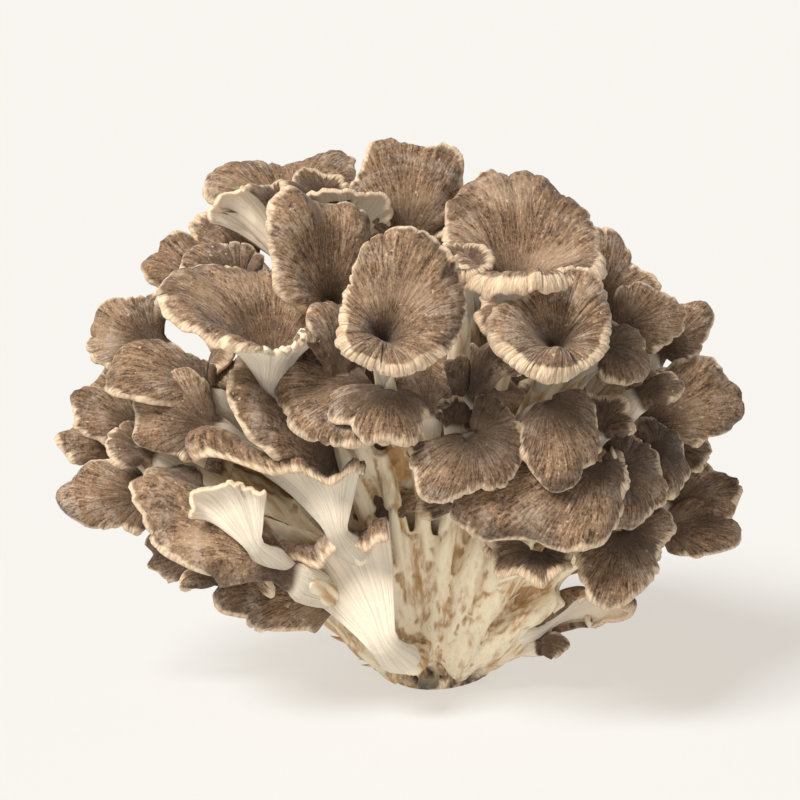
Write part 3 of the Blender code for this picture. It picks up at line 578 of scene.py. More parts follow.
def joining_rows(low_row, low_way, high_row, high_way):
    """Rows that lead smoothly from one row of points to another."""
    gap = np.linalg.norm(high_row - low_row, axis=1, keepdims=True)
    rows = []
    for t in NECK_JOIN:
        rows.append((2 * t ** 3 - 3 * t ** 2 + 1) * low_row + (t ** 3 - 2 * t ** 2 + t) * gap * low_way
                    + (3 * t ** 2 - 2 * t ** 3) * high_row + (t ** 3 - t ** 2) * gap * high_way)
    return rows


def unit_rows(rows):
    """Each row vector made one long."""
    return rows / (np.linalg.norm(rows, axis=1, keepdims=True) + 1e-9)


def rim_distances(frond, points, turns):
    """How far each point lies from the rim, less where a round lip folds over, and from the neck."""
    outward = facing_axes(*frond.facing)[2]
    steps = np.linalg.norm(np.diff(points, axis=1), axis=2)
    summed = np.cumsum(steps[:, ::-1], 1)[:, ::-1]
    to_rim = np.concatenate((summed, np.zeros((len(points), 1))), 1).T
    from_neck = to_rim[:1] - to_rim + 4
    pace = np.linalg.norm(np.gradient(points, axis=1), axis=2) + 1e-9
    fall = np.gradient(points @ outward, axis=1) / pace
    near = (1 - np.cos(turns - math.radians(frond.longest))) / 2
    folded = smooth(0.3, -0.3, fall) * smooth(0.42, 0.62, np.array(STOPS))
    folded = folded * smooth(0.25, 0.6, near)[:, None] * (frond.habit in CLOSED)
    return to_rim * (1 - 0.9 * folded.T), from_neck


def leaf_rows(frond, points, turns, edge):
    """Rows of points from the stalk over the blade and its rim and back below, and their values."""
    closed = frond.habit in CLOSED
    normals = surface_normals(points, facing_axes(*frond.facing)[2])
    neck_thickness = THICK_NECKS.get(frond.name, (0, NECK_THICKNESS))[1]
    thickness = edge + (neck_thickness - edge) * (1 - np.array(STOPS)) ** 1.3
    offset = normals * thickness[None, :, None] / 2
    upper = (points + offset).transpose(1, 0, 2)
    lower = (points - offset).transpose(1, 0, 2)
    beyond = unit_rows(points[:, -1] - points[:, -2])
    rims = [points[:, -1] + edge / 2 * (math.cos(turn) * beyond + math.sin(turn) * normals[:, -1])
            for turn in np.radians(RIM_TURNS)]
    to_rim, from_neck = rim_distances(frond, points, turns)
    rings = stalk_rings(frond, turns, closed)
    _, _, tangent, top = rings[-1]
    way = np.broadcast_to(tangent, upper[0].shape)
    flat = np.ones(len(points))
    rows, side, margin, radial = [], [], [], []

    def add(row, on_top, to_edge, from_centre):
        rows.append(row)
        side.append(flat * on_top)
        margin.append(flat * to_edge)
        radial.append(flat * from_centre)

    if not closed:
        for ring in rings:
            add(ring[0], 0, FAR_FROM_RIM, ring[3])
        joins = joining_rows(rings[-1][0], way, upper[0], unit_rows(upper[1] - upper[0]))
        for row, t in zip(joins, NECK_JOIN):
            add(row, t, NEAR_NECK, top * (1 - t) + 4 * t)
    for k in range(len(STOPS)):
        add(upper[k], 1, to_rim[k], from_neck[k])
    for row, on_top in zip(rims, RIM_SIDES):
        add(row, on_top, 0, from_neck[-1])
    for k in reversed(range(len(STOPS))):
        add(lower[k], 0, to_rim[k], from_neck[k])
    joins = joining_rows(rings[-1][1], way, lower[0], unit_rows(lower[1] - lower[0]))
    for row, t in reversed(list(zip(joins, NECK_JOIN))):
        add(row, 0, FAR_FROM_RIM, top * (1 - t) + 4 * t)
    for ring in reversed(rings):
        add(ring[1], 0, FAR_FROM_RIM, ring[3])
    values = {"side": side, "margin": margin, "radial": radial, "turn": [turns] * len(rows)}
    return np.array(rows), {key: np.array(value) for key, value in values.items()}


def frond_leaf(frond, spacing, sizes):
    """One frond as a closed surface: places, quads and triangles, and per-point values."""
    first, last = frond.span
    closed = frond.habit in CLOSED
    whole = closed and last - first == 360
    rim = math.radians(last - first) * sum(frond.reaches) / len(frond.reaches)
    columns = int(min(MOST_COLUMNS, max(FEWEST_COLUMNS, round(rim / spacing))))
    points, turns = blade(frond, columns, sizes)
    if not whole and frond.habit not in SHOWS_UNDERSIDE:
        radius = max(frond.roll, sizes.side_roll / MM)
        outward = facing_axes(*frond.facing)[2]
        points, turns = with_rolled_sides(points, turns, outward, radius, phases(frond.name)[0])
    grid, values = leaf_rows(frond, points, turns, sizes.rim_thickness / MM)
    if whole:
        grid = grid[:, :-1]
        values = {key: value[:, :-1] for key, value in values.items()}
    return close_leaf(grid, values, whole, closed)


def side_faces(chain):
    """Faces across one side edge, from the upper face to the lower, ending in one triangle."""
    half = len(chain) // 2
    low, high = chain[:half], chain[::-1][:half]
    quads = np.stack((low[:-1], low[1:], high[1:], high[:-1]), -1)
    return quads, np.array([[low[-1], chain[half], high[-1]]])


def pole_faces(ring, pole):
    """Triangles from a closed ring of points to one point."""
    return np.stack((ring, np.roll(ring, -1), np.full(len(ring), pole)), -1)


def close_leaf(grid, values, whole, closed):
    """Faces of a leaf's grid, with its side edges, throat and stalk end closed."""
    deep, wide = grid.shape[:2]
    number = np.arange(deep * wide).reshape(deep, wide)
    after = np.roll(number, -1, axis=1) if whole else number[:, 1:]
    here = number if whole else number[:, :-1]
    quads = [np.stack((here[:-1], after[:-1], after[1:], here[1:]), -1).reshape(-1, 4)]
    triangles = []
    places = grid.reshape(-1, 3)
    tails = {key: [] for key in values}
    if closed:
        throat = grid[0].mean(0)
        poles = np.array((throat + 0.4 * (throat - grid[2].mean(0)), grid[-1].mean(0)))
        for key, value in values.items():
            tails[key] = [value[0].mean(), value[-1].mean()]
        triangles += [pole_faces(number[0], deep * wide), pole_faces(number[-1], deep * wide + 1)]
        places = np.concatenate((places, poles))
    if closed and not whole:
        edge_rows = 2 * len(STOPS) + len(RIM_TURNS)
        for side in (0, wide - 1):
            wall, tip = side_faces(number[:edge_rows, side])
            quads.append(wall)
            triangles.append(tip)
        tail = number[edge_rows - 1:]
        quads.append(np.stack((tail[:-1, -1], tail[:-1, 0], tail[1:, 0], tail[1:, -1]), -1))
        quads.append(np.array([[number[0, 0], tail[0, 0], tail[0, -1], number[0, -1]]]))
    if not closed:
        for side in (0, wide - 1):
            wall, tip = side_faces(number[:, side])
            quads.append(wall)
            triangles.append(tip)
        quads.append(np.stack((number[0, 1:], number[0, :-1], number[-1, :-1], number[-1, 1:]), -1))
    flat = {key: np.concatenate((np.asarray(value, float).reshape(-1), tails[key]))
            for key, value in values.items()}
    return places, np.concatenate(quads), np.concatenate(triangles), flat


# --- Meshes -----------------------------------------------------------------------------
def mesh_of(name, places, quads, triangles):
    """A mesh from points in millimetres and arrays of faces."""
    mesh = bpy.data.meshes.new(name)
    loops = np.concatenate((quads.reshape(-1), triangles.reshape(-1))).astype(np.int32)
    starts = np.concatenate((np.arange(len(quads)) * 4, len(quads) * 4 + np.arange(len(triangles)) * 3))
    mesh.vertices.add(len(places))
    mesh.vertices.foreach_set("co", (places * MM).astype(np.float32).ravel())
    mesh.loops.add(len(loops))
    mesh.loops.foreach_set("vertex_index", loops)
    mesh.polygons.add(len(starts))
    mesh.polygons.foreach_set("loop_start", starts.astype(np.int32))
    mesh.update(calc_edges=True)
    return mesh


def add_values(mesh, name, values):
    """A named number, or vector, on each point of a mesh."""
    values = np.asarray(values, np.float32)
    kind, key = ("FLOAT_VECTOR", "vector") if values.ndim == 2 else ("FLOAT", "value")
    layer = mesh.attributes.new(name, kind, "POINT")
    layer.data.foreach_set(key, values.ravel())


def tidy_shell(mesh, distance=0.004):
    """Merge doubled points, drop faces with no area and turn every shell's faces outwards."""
    shape = bmesh.new()
    shape.from_mesh(mesh)
    bmesh.ops.remove_doubles(shape, verts=shape.verts, dist=distance * MM)
    bmesh.ops.recalc_face_normals(shape, faces=shape.faces)
    shape.to_mesh(mesh)
    shape.free()
    mesh.shade_smooth()


def leaves_mesh(name, rows, spacing, sizes):
    """One mesh of many fronds, with the values that its finish reads."""
    base, places, quads, triangles = 0, [], [], []
    values = {key: [] for key in ("side", "margin", "radial", "turn", "tone")}
    for row in rows:
        frond = Frond(*row)
        points, four, three, given = frond_leaf(frond, spacing, sizes)
        places.append(points)
        quads.append(four + base)
        triangles.append(three + base)
        given["tone"] = np.full(len(points), phases(frond.name)[0] / (2 * math.pi))
        for key in values:
            values[key].append(given[key])
        base += len(points)
    mesh = mesh_of(name, np.concatenate(places), np.concatenate(quads), np.concatenate(triangles))
    values = {key: np.concatenate(items) for key, items in values.items()}
    turn, tone = values.pop("turn"), values["tone"]
    for key, items in values.items():
        add_values(mesh, key, items)
    add_values(mesh, "ray", np.stack((np.cos(turn), np.sin(turn), tone * TONE_STRIDE), 1))
    tidy_shell(mesh)
    return mesh


def piece_of(name, mesh, material):
    """An object at the origin that rides on the cluster and stands for its solid."""
    piece = bpy.data.objects.new(name, mesh)
    bpy.context.scene.collection.objects.link(piece)
    mesh.materials.clear()
    mesh.materials.append(material)
    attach(piece, BODY)
    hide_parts(NODE)
    return piece


# --- Materials --------------------------------------------------------------------------
class Nodes:
    """Short ways to add and link the nodes of one tree."""

    def __init__(self, tree):
        self.tree = tree

    def put(self, socket, value):
        """Link an output, or set a number, vector or colour."""
        if isinstance(value, bpy.types.NodeSocket):
            self.tree.links.new(value, socket)
        else:
            socket.default_value = value

    def add(self, kind, inputs=None, **settings):
        """A node with its settings, and its inputs by name or number."""
        node = self.tree.nodes.new(kind)
        for key, value in settings.items():
            setattr(node, key, value)
        for key, value in (inputs or {}).items():
            self.put(node.inputs[key], value)
        return node

    def math(self, operation, one, two=0.0, three=0.0):
        return self.add("ShaderNodeMath", {0: one, 1: two, 2: three}, operation=operation).outputs[0]

    def times(self, one, two):
        return self.math("MULTIPLY", one, two)

    def line(self, value, slope, start):
        """A value times a slope, plus a start."""
        return self.math("MULTIPLY_ADD", value, slope, start)

    def plus(self, one, two):
        """The sum of two vectors."""
        return self.add("ShaderNodeVectorMath", {0: one, 1: two}, operation="ADD").outputs["Vector"]

    def scaled(self, vector, scale):
        node = self.add("ShaderNodeVectorMath", {0: vector, "Scale": scale}, operation="SCALE")
        return node.outputs["Vector"]


class Finish(Nodes):
    """The nodes of one material, with its place in the object's own coordinates."""

    def __init__(self, name):
        self.material = bpy.data.materials.new(name)
        self.material.use_nodes = True
        super().__init__(self.material.node_tree)
        self.shader = self.tree.nodes["Principled BSDF"]
        self.place = self.add("ShaderNodeTexCoord").outputs["Object"]

    def attribute(self, name, output="Fac"):
        return self.add("ShaderNodeAttribute", attribute_name=name).outputs[output]

    def split(self, vector):
        return self.add("ShaderNodeSeparateXYZ", {0: vector}).outputs

    def step(self, value, low, high):
        """Smooth step of a value from 0 at low to 1 at high; low may be above high."""
        inputs = {0: value, 1: low, 2: high, 3: 0.0, 4: 1.0}
        return self.add("ShaderNodeMapRange", inputs, interpolation_type="SMOOTHSTEP").outputs[0]

    def noise(self, vector, scale, detail=2.0, rough=0.55):
        inputs = {"Vector": vector, "Scale": scale, "Detail": detail, "Roughness": rough}
        return self.add("ShaderNodeTexNoise", inputs).outputs["Fac"]

    def mix(self, factor, one, two):
        """From one colour to another."""
        one, two = (item if isinstance(item, bpy.types.NodeSocket) else (*item, 1) for item in (one, two))
        return self.add("ShaderNodeMix", {0: factor, 6: one, 7: two}, data_type="RGBA").outputs[2]

    def bump(self, height, distance, strength=1.0, below=None):
        """Fine relief, on top of the relief below."""
        inputs = {"Height": height, "Distance": distance, "Strength": strength}
        if below is not None:
            inputs["Normal"] = below
        return self.add("ShaderNodeBump", inputs).outputs[0]

    def surface(self, values):
        """Set or link the shader's inputs by name, and hand over the material."""
        for name, value in values.items():
            self.put(self.shader.inputs[name], value)
        return self.material


def frond_finish(colours):
    """Velvety radial fibrils on top, pale furrowed margin, lined cream underside."""
    n = Finish("frond_flesh")
    side, margin = n.attribute("side"), n.attribute("margin")
    radial, tone = n.attribute("radial"), n.attribute("tone")
    ray = n.split(n.attribute("ray", "Vector"))

    def polar(turns, rate):
        """Coordinates that follow the rays: turns across them, rate along them."""
        inputs = {0: n.times(ray[0], turns), 1: n.times(ray[1], turns), 2: n.line(radial, rate, ray[2])}
        return n.add("ShaderNodeCombineXYZ", inputs).outputs[0]

    fibril = n.noise(polar(44, 0.4), 1.0, 3, 0.65)
    strand = n.noise(polar(15, 0.13), 1.0)
    zone = n.noise(polar(1.6, 0.30), 1.0)
    fringe = n.noise(polar(11, 0.12), 1.0)
    cloud = n.noise(n.place, 75, 3)
    fuzz = n.noise(n.place, 1350, 3, 0.75)
    fleck = n.noise(n.place, 620, 2, 0.5)

    nap = n.line(fibril, 0.42, n.line(strand, 0.24, n.times(fuzz, 0.34)))
    cap = n.mix(n.step(nap, 0.40, 0.51), colours.cap_dark, colours.cap_brown)
    cap = n.mix(n.times(n.step(nap, 0.50, 0.64), 0.85), cap, colours.cap_light)
    cap = n.mix(n.times(n.step(cloud, 0.50, 0.34), 0.5), cap, colours.cap_dark)
    cap = n.mix(n.times(n.step(cloud, 0.52, 0.70), 0.35), cap, colours.cap_light)
    bloom = n.times(n.step(zone, 0.46, 0.64), n.step(margin, 24, 5))
    bloom = n.times(bloom, n.line(n.step(nap, 0.42, 0.60), 0.75, 0.15))
    cap = n.mix(n.times(bloom, n.line(tone, 0.5, 0.45)), cap, colours.bloom)
    cap = n.mix(n.times(n.step(fleck, 0.68, 0.78), 0.6), cap, colours.margin)
    # Painted shade: the cap is darkened towards its neck and throat, deep in the funnels.
    cap = n.mix(n.times(n.step(radial, 17, 5), 0.65), cap, colours.cap_dark)
    pale = n.step(n.math("SUBTRACT", margin, n.line(fringe, 4.2, -0.7)), 1.0, -0.6)
    edge = n.mix(n.step(fibril, 0.38, 0.60), colours.cap_light, colours.margin)
    cap = n.mix(n.times(pale, 0.9), cap, edge)

    lines = n.noise(polar(40, 0.02), 1.0, 2, 0.6)
    wash = n.noise(n.place, 60)
    under = n.mix(n.times(n.step(lines, 0.55, 0.3), 0.45), colours.under, colours.under_line)
    under = n.mix(n.times(n.step(wash, 0.52, 0.75), 0.5), under, colours.under_line)
    under = n.mix(n.times(n.step(margin, 2.2, 0.4), 0.7), under, colours.margin)

    relief = n.mix(side, lines, n.math("ADD", n.times(fibril, 0.55), n.times(fuzz, 0.45)))
    return n.surface({
        "Base Color": n.mix(n.step(side, 0.3, 0.62), under, cap),
        "Roughness": n.line(fibril, -0.12, 0.86),
        "Specular IOR Level": 0.28,
        "Sheen Weight": 0.12,
        "Sheen Roughness": 0.5,
        "Subsurface Weight": 0.12,
        "Subsurface Radius": (1.0, 0.55, 0.3),
        "Subsurface Scale": 0.0022,
        "Normal": n.bump(n.noise(n.place, 260), 0.0007, 0.5, n.bump(relief, 0.0006, 0.9)),
    })


def stem_finish(colours):
    """Cream flesh with long fibres, ochre stains, dark clefts and dirt at the cut."""
    n = Finish("stem_flesh")
    cleft, pit = n.attribute("cleft"), n.attribute("pit")
    source = tuple(-MM * part for part in FIBRE_SOURCE)
    way = n.add("ShaderNodeVectorMath", {0: n.plus(n.place, source)}, operation="NORMALIZE").outputs[0]

    def fibrous(across, along, detail, rough=0.55):
        """Noise that is drawn out along the fibres: how often it changes across and along them."""
        return n.noise(n.plus(n.scaled(way, across), n.scaled(n.place, along)), 1.0, detail, rough)

    fibre = fibrous(34.0, 9.0, 4, 0.6)
    thread = fibrous(95.0, 24.0, 2)
    patch = fibrous(7.0, 30.0, 3)
    spot = n.noise(n.place, 240, 3, 0.6)
    height = n.split(n.place)[2]
    skin = n.mix(n.times(n.step(fibre, 0.5, 0.72), 0.5), colours.stem, colours.margin)
    stain = n.times(n.step(patch, 0.44, 0.62), n.step(fibre, 0.32, 0.6))
    skin = n.mix(stain, skin, colours.stain)
    skin = n.mix(n.times(n.step(thread, 0.58, 0.78), 0.4), skin, colours.under_line)
    # Clefts: partly ochre stain, partly painted shade; the deepest are painted nearly black with the cap's
    # darkest brown.
    fibre_patchiness = n.line(n.step(fibre, 0.34, 0.6), 0.7, 0.2)
    skin = n.mix(n.times(n.step(cleft, 0.15, 0.85), fibre_patchiness), skin, colours.stain)
    skin = n.mix(n.times(n.step(cleft, 0.8, 1.0), n.times(fibre_patchiness, 0.25)), skin, colours.cap_dark)
    skin = n.mix(n.times(n.step(spot, 0.66, 0.74), 0.3), skin, colours.stain)
    dirt = n.times(n.step(height, 0.011, 0.0), n.step(n.noise(n.place, 170, 3, 0.6), 0.42, 0.62))
    skin = n.mix(n.times(dirt, 0.85), skin, colours.soil)
    relief = n.math("ADD", n.times(fibre, 0.6), n.times(thread, 0.4))
    return n.surface({
        # The pits are painted in the soil's near-black colour.
        "Base Color": n.mix(pit, skin, colours.soil),
        "Roughness": n.line(fibre, -0.2, 0.85),
        "Specular IOR Level": 0.3,
        "Subsurface Weight": 0.15,
        "Subsurface Radius": (1.0, 0.6, 0.35),
        "Subsurface Scale": 0.0025,
        "Normal": n.bump(relief, 0.0008, 0.8, n.bump(spot, 0.0005, 0.5)),
    })


def soil_finish(colours):
    """Dark crumbly soil."""
    n = Finish("soil_crumb")
    speck = n.noise(n.place, 900, 3, 0.7)
    lighter = tuple(min(1.0, 4.5 * part) for part in colours.soil)
    return n.surface({
        "Base Color": n.mix(n.step(speck, 0.4, 0.7), colours.soil, lighter),
        "Roughness": 0.95,
        "Normal": n.bump(speck, 0.0004),
    })


def floor_finish(colours):
    """Plain matt paper with a warm glow of its own, so that its shadows stay faint."""
    matt = (part * share for part, share in zip(colours.floor, (0.25, 0.28, 0.31)))
    glow = (part * share for part, share in zip(colours.floor, (0.64, 0.605, 0.57)))
    return Finish("plain_floor").surface({
        "Base Color": (*matt, 1),
        "Emission Color": (*glow, 1),
        "Emission Strength": 1.0,
        "Roughness": 0.95,
        "Specular IOR Level": 0.1,
    })


def finish_named(name):
    """The material of that name, made on first use."""
    makers = {"frond_flesh": frond_finish, "stem_flesh": stem_finish,
              "soil_crumb": soil_finish, "plain_floor": floor_finish}
    return bpy.data.materials.get(name) or makers[name](bpy.context.scene.maitake_colours)


# --- Stem -------------------------------------------------------------------------------
# Broad branches of the stem in front: points (X, Y, Z) and radius
STEM_BRANCHES = (
    ((3, -8, 6, 10), (5, -21, 28, 8.5), (7, -33, 50, 6.5), (9, -42, 66, 5)),
    ((-4, -10, 8, 9), (-5, -23, 32, 7), (-9, -35, 54, 5.5), (-11, -46, 72, 4.5)),
    ((-8, -8, 10, 8), (-15, -22, 36, 6.2), (-21, -34, 58, 5), (-25, -42, 70, 4.2)),
    ((10, -8, 8, 10), (18, -20, 26, 8.5), (25, -32, 44, 6.5), (30, -41, 56, 5)),
    ((12, -6, 10, 9), (25, -16, 24, 7.5), (38, -27, 38, 5.5), (48, -35, 48, 4.2)),
    ((12, -8, 8, 9), (24, -16, 14, 7.5), (36, -22, 19, 5)),
    ((-8, -8, 8, 8), (-20, -20, 20, 7), (-32, -28, 30, 5)),
    ((0, 8, 8, 11), (-6, 24, 30, 8.5), (-12, 38, 52, 6)),
    ((8, 8, 8, 11), (16, 24, 30, 8), (24, 36, 50, 6)),
    ((-6, 2, 10, 10), (-26, 4, 34, 7.5), (-42, 6, 52, 5.5)),
    ((12, 2, 10, 10), (30, 6, 32, 7.5), (44, 8, 48, 5.5)),
)
# Ribs that stand out of the stem's front, one for each stalk that runs down it
STEM_RIBS = (
    ((-7.5, -25, 14, 3.6), (-8, -29, 27, 3.6), (-14, -38, 50, 3.2), (-21, -44, 69, 2.8), (-24, -47, 80, 2.4)),
    ((-4, -26, 16, 3.2), (-5, -31, 31, 3.2), (-7.5, -41, 53, 2.8), (-12.5, -47, 76, 2.3)),
    ((0, -27, 18, 3), (-1, -33, 37, 3), (-1, -42, 60, 2.5), (-3, -47, 75, 2.2)),
    ((2, -26, 12, 3.4), (2.5, -31, 27, 3.4), (5.5, -39, 50, 2.9), (8.5, -45, 67, 2.4)),
    ((6, -25, 10, 4.2), (8, -29, 24, 4.2), (13.5, -35, 43, 3.6), (18.5, -41, 58, 3)),
    ((8, -24, 8, 4.6), (11, -27, 18, 4.6), (21.5, -31, 33, 4), (30, -34, 43, 3.2)),
    ((8, -21, 6, 5), (13.5, -23, 11, 5), (27, -26, 22, 4.2), (38, -28, 30, 3.2)),
    ((-6, -21, 5, 4.6), (-11.5, -21, 9, 4.6), (-23, -25, 20, 3.6), (-32, -29, 27, 2.8)),
    ((-4, -24, 8, 4), (-10, -28, 21, 4), (-21, -35, 37, 3.2), (-28, -40, 46, 2.6)),
    ((13, 19, 10, 4.5), (15, 26, 28, 4), (20, 37, 52, 3.2), (25, 45, 70, 2.6)),
    ((3, 21, 10, 4.2), (1, 30, 32, 3.8), (-2, 42, 58, 3), (-4, 48, 74, 2.5)),
    ((-8, 17, 9, 4.4), (-14, 24, 28, 3.8), (-24, 34, 50, 3), (-31, 40, 66, 2.5)),
    ((-14, 0, 9, 4.4), (-22, -2, 24, 3.8), (-35, -3, 44, 3), (-44, -3, 60, 2.5)),
    ((19, 4, 9, 4.4), (28, 5, 25, 3.8), (40, 6, 45, 3), (49, 6, 60, 2.5)),
)
BRANCH_SHARE = (1.0, 0.86, 0.68, 0.66)    # thickness of the broad branches behind the ribs, foot to end
LINE_POINTS = 12                # points of the centre line of a stalk, branch or rib
STEM_SHARE_KEPT = 0.42          # of the fused skin's triangles
# Small pits dented into the stem and painted as dark as the soil: place, radius, depth
PITS = (
    (-1.5, -20.5, 8.7, 1.5, 2.2), (1.2, -20.5, 5.6, 1.2, 2.0), (-4.4, -19, 2.4, 1.9, 2.0),
    (17.5, -12, 4.6, 1.7, 2.0), (4.5, -20, 11.5, 0.9, 1.4), (-12, -12, 4, 1.3, 1.6),
    (5, 20, 8, 1.6, 2.0), (14, 15, 4, 1.4, 2.0), (-9, 13, 6, 1.5, 2.0), (9, 20, 13, 1.0, 1.4),
)


def new_tree(name, settings):
    """A geometry node tree with a surface, named settings and a material as inputs."""
    tree = bpy.data.node_groups.new(name, "GeometryNodeTree")
    given = (("Geometry", "Geometry", None), *settings, ("Material", "Material", None))
    for label, kind, value in given:
        socket = tree.interface.new_socket(label, in_out="INPUT", socket_type="NodeSocket" + kind)
        if value is not None:
            socket.default_value = value
    tree.interface.new_socket("Geometry", in_out="OUTPUT", socket_type="NodeSocketGeometry")
    n = Nodes(tree)
    return n, n.add("NodeGroupInput").outputs


def give_result(n, given, geometry):
    """Make a tree's instances real, dress them in its material and hand them over."""
    real = n.add("GeometryNodeRealizeInstances", {"Geometry": geometry})
    inputs = {"Geometry": real.outputs["Geometry"], "Material": given["Material"]}
    dressed = n.add("GeometryNodeSetMaterial", inputs)
    n.add("NodeGroupOutput", {"Geometry": dressed.outputs["Geometry"]})
    return n.tree


def tubes_tree():
    """Geometry nodes: a closed tube along every curve, as thick as the curve's radius."""
    n, given = new_tree("stalk_tubes", (("Sides", "Int", 10), ("Thickness", "Float", 1.0)))
    profile = n.add("GeometryNodeCurvePrimitiveCircle", {"Resolution": given["Sides"], "Radius": 1.0})
    radius = n.add("GeometryNodeInputRadius").outputs[0]
    sweep = n.add("GeometryNodeCurveToMesh", {
        "Curve": given["Geometry"], "Profile Curve": profile.outputs["Curve"],
        "Scale": n.times(radius, given["Thickness"]), "Fill Caps": True})
    return give_result(n, given, sweep.outputs["Mesh"])


def scatter_tree(name):
    """Geometry nodes: one small shape repeated over a surface where the attribute of that name is."""
    n, given = new_tree(name, (
        ("Density", "Float", 1000.0), ("Smallest", "Float", 0.5), ("Largest", "Float", 1.5),
        ("Tilt", "Float", 0.3), ("Seed", "Int", 1), ("Shape", "Object", None)))
    mask = n.add("GeometryNodeInputNamedAttribute", {"Name": name}).outputs["Attribute"]
    points = n.add("GeometryNodeDistributePointsOnFaces", {
        "Mesh": given["Geometry"], "Density": n.times(given["Density"], mask), "Seed": given["Seed"]}).outputs
    way = n.add("GeometryNodeInputNamedAttribute", {"Name": "fibre_way"}, data_type="FLOAT_VECTOR")
    lean = n.plus(n.scaled(points["Normal"], given["Tilt"]), way.outputs["Attribute"])
    upright = n.add("FunctionNodeAlignRotationToVector", {"Vector": lean}, axis="Z").outputs["Rotation"]
    roll = n.add("FunctionNodeRandomValue", {"Min": (-0.25, -0.25, -3.1), "Max": (0.25, 0.25, 3.1)},
                 data_type="FLOAT_VECTOR").outputs["Value"]
    turned = n.add("FunctionNodeRotateRotation", {
        "Rotation": upright, "Rotate By": n.add("FunctionNodeEulerToRotation", {0: roll}).outputs[0]},
        rotation_space="LOCAL")
    limits = {2: given["Smallest"], 3: given["Largest"], "Seed": given["Seed"]}
    size = n.add("FunctionNodeRandomValue", limits, data_type="FLOAT").outputs[1]
    shape = n.add("GeometryNodeObjectInfo", {"Object": given["Shape"]}).outputs["Geometry"]
    repeat = n.add("GeometryNodeInstanceOnPoints", {
        "Points": points["Points"], "Instance": shape, "Rotation": turned.outputs["Rotation"], "Scale": size})
    return give_result(n, given, repeat.outputs["Instances"])


def grown_mesh(base, tree, inputs):
    """The plain mesh that a tree makes of an object, with its inputs set by name."""
    grow = base.modifiers.new(tree.name, "NODES")
    grow.node_group = tree
    keys = {item.name: item.identifier for item in tree.interface.items_tree
            if item.item_type == "SOCKET" and item.in_out == "INPUT"}
    for name, value in inputs.items():
        grow[keys[name]] = value
    bpy.context.view_layer.update()
    graph = bpy.context.evaluated_depsgraph_get()
    mesh = bpy.data.meshes.new_from_object(base.evaluated_get(graph))
    base.modifiers.remove(grow)
    return mesh


def smooth_line(row, shares=None):
    """A line of points with radii through a hand-set row, its radii scaled by shares."""
    row = np.array(row, float)
    if shares:
        row[:, 3] *= shares[:len(row)]
    place = np.linspace(0, 1, LINE_POINTS)
    return np.column_stack([spread(row[:, k], place) for k in range(4)])


def stalk_line(frond):
    """A line of points with radii along a frond's stalk."""
    path = stalk_path(frond, LINE_POINTS)[:-1]
    share = np.linspace(0, 1, len(path))
    radius = (STALK_ROOT_RADIUS + (STALK_NECK_RADIUS - STALK_ROOT_RADIUS) * share) * girth(frond)
    return np.column_stack((path, radius))


def stalk_curves():
    """A curve object with the centre lines of all stalks, stem branches and ribs."""
    lines = [stalk_line(frond) for frond in FRONDS]
    lines += [smooth_line(row, BRANCH_SHARE) for row in STEM_BRANCHES]
    lines += [smooth_line(row) for row in STEM_RIBS]
    data = bpy.data.curves.new("stalk_lines", "CURVE")
    data.dimensions = "3D"
    for line in lines:
        spline = data.splines.new("POLY")
        spline.points.add(len(line) - 1)
        spline.points.foreach_set("co", np.column_stack((line[:, :3] * MM, np.ones(len(line)))).ravel())
        spline.points.foreach_set("radius", line[:, 3] * MM)
    holder = bpy.data.objects.new("stalk_lines", data)
    bpy.context.scene.collection.objects.link(holder)
    return holder


def shell_of(name, rings, ends):
    """A closed mesh from rings of points, bottom to top, and the middle points of its two ends."""
    grid = np.array(rings)
    number = np.arange(grid.shape[0] * grid.shape[1]).reshape(grid.shape[:2])
    after = np.roll(number, -1, 1)
    quads = np.stack((number[:-1], after[:-1], after[1:], number[1:]), -1).reshape(-1, 4)
    caps = np.concatenate((pole_faces(number[0], number.size), pole_faces(number[-1], number.size + 1)))
    mesh = mesh_of(name, np.concatenate((grid.reshape(-1, 3), ends)), quads, caps)
    tidy_shell(mesh)
    return mesh


def foot_shell():
    """The gnarled foot as rings of points, closed at both ends."""
    turn = np.arange(FOOT_SIDES) * 2 * math.pi / FOOT_SIDES
    rings = []
    for number, (height, half_width, half_depth) in enumerate(FOOT_RINGS):
        swell = 1 + 0.07 * np.sin(3 * turn + number) * (number > 0)
        rings.append(np.stack((FOOT_CENTRE[0] + half_width * swell * np.cos(turn),
                               FOOT_CENTRE[1] + half_depth * swell * np.sin(turn),
                               np.full(len(turn), height)), 1))
    return shell_of("foot_shell", rings, np.array((rings[0].mean(0), rings[-1].mean(0))))


def points_of(mesh):
    """Places and normals of a mesh's points, in millimetres and unit length."""
    count = len(mesh.vertices)
    places, normals = np.empty(count * 3, np.float32), np.empty(count * 3, np.float32)
    mesh.vertices.foreach_get("co", places)
    mesh.vertex_normals.foreach_get("vector", normals)
    return places.reshape(-1, 3).astype(float) / MM, normals.reshape(-1, 3).astype(float)


def valleys(mesh, places, normals, rounds=14):
    """How deep each point lies in a hollow, in millimetres below the smoothed surface."""
    count = len(mesh.edges)
    ends = np.empty(count * 2, np.int32)
    mesh.edges.foreach_get("vertices", ends)
    here, there = ends.reshape(-1, 2).T
    total = np.maximum(np.bincount(ends, minlength=len(places)), 1)
    soft = places.copy()
    for _ in range(rounds):
        for k in range(3):
            column = soft[:, k]
            one_way = np.bincount(here, column[there], len(places))
            other_way = np.bincount(there, column[here], len(places))
            soft[:, k] = 0.3 * column + 0.7 * (one_way + other_way) / total
    return ((soft - places) * normals).sum(1)


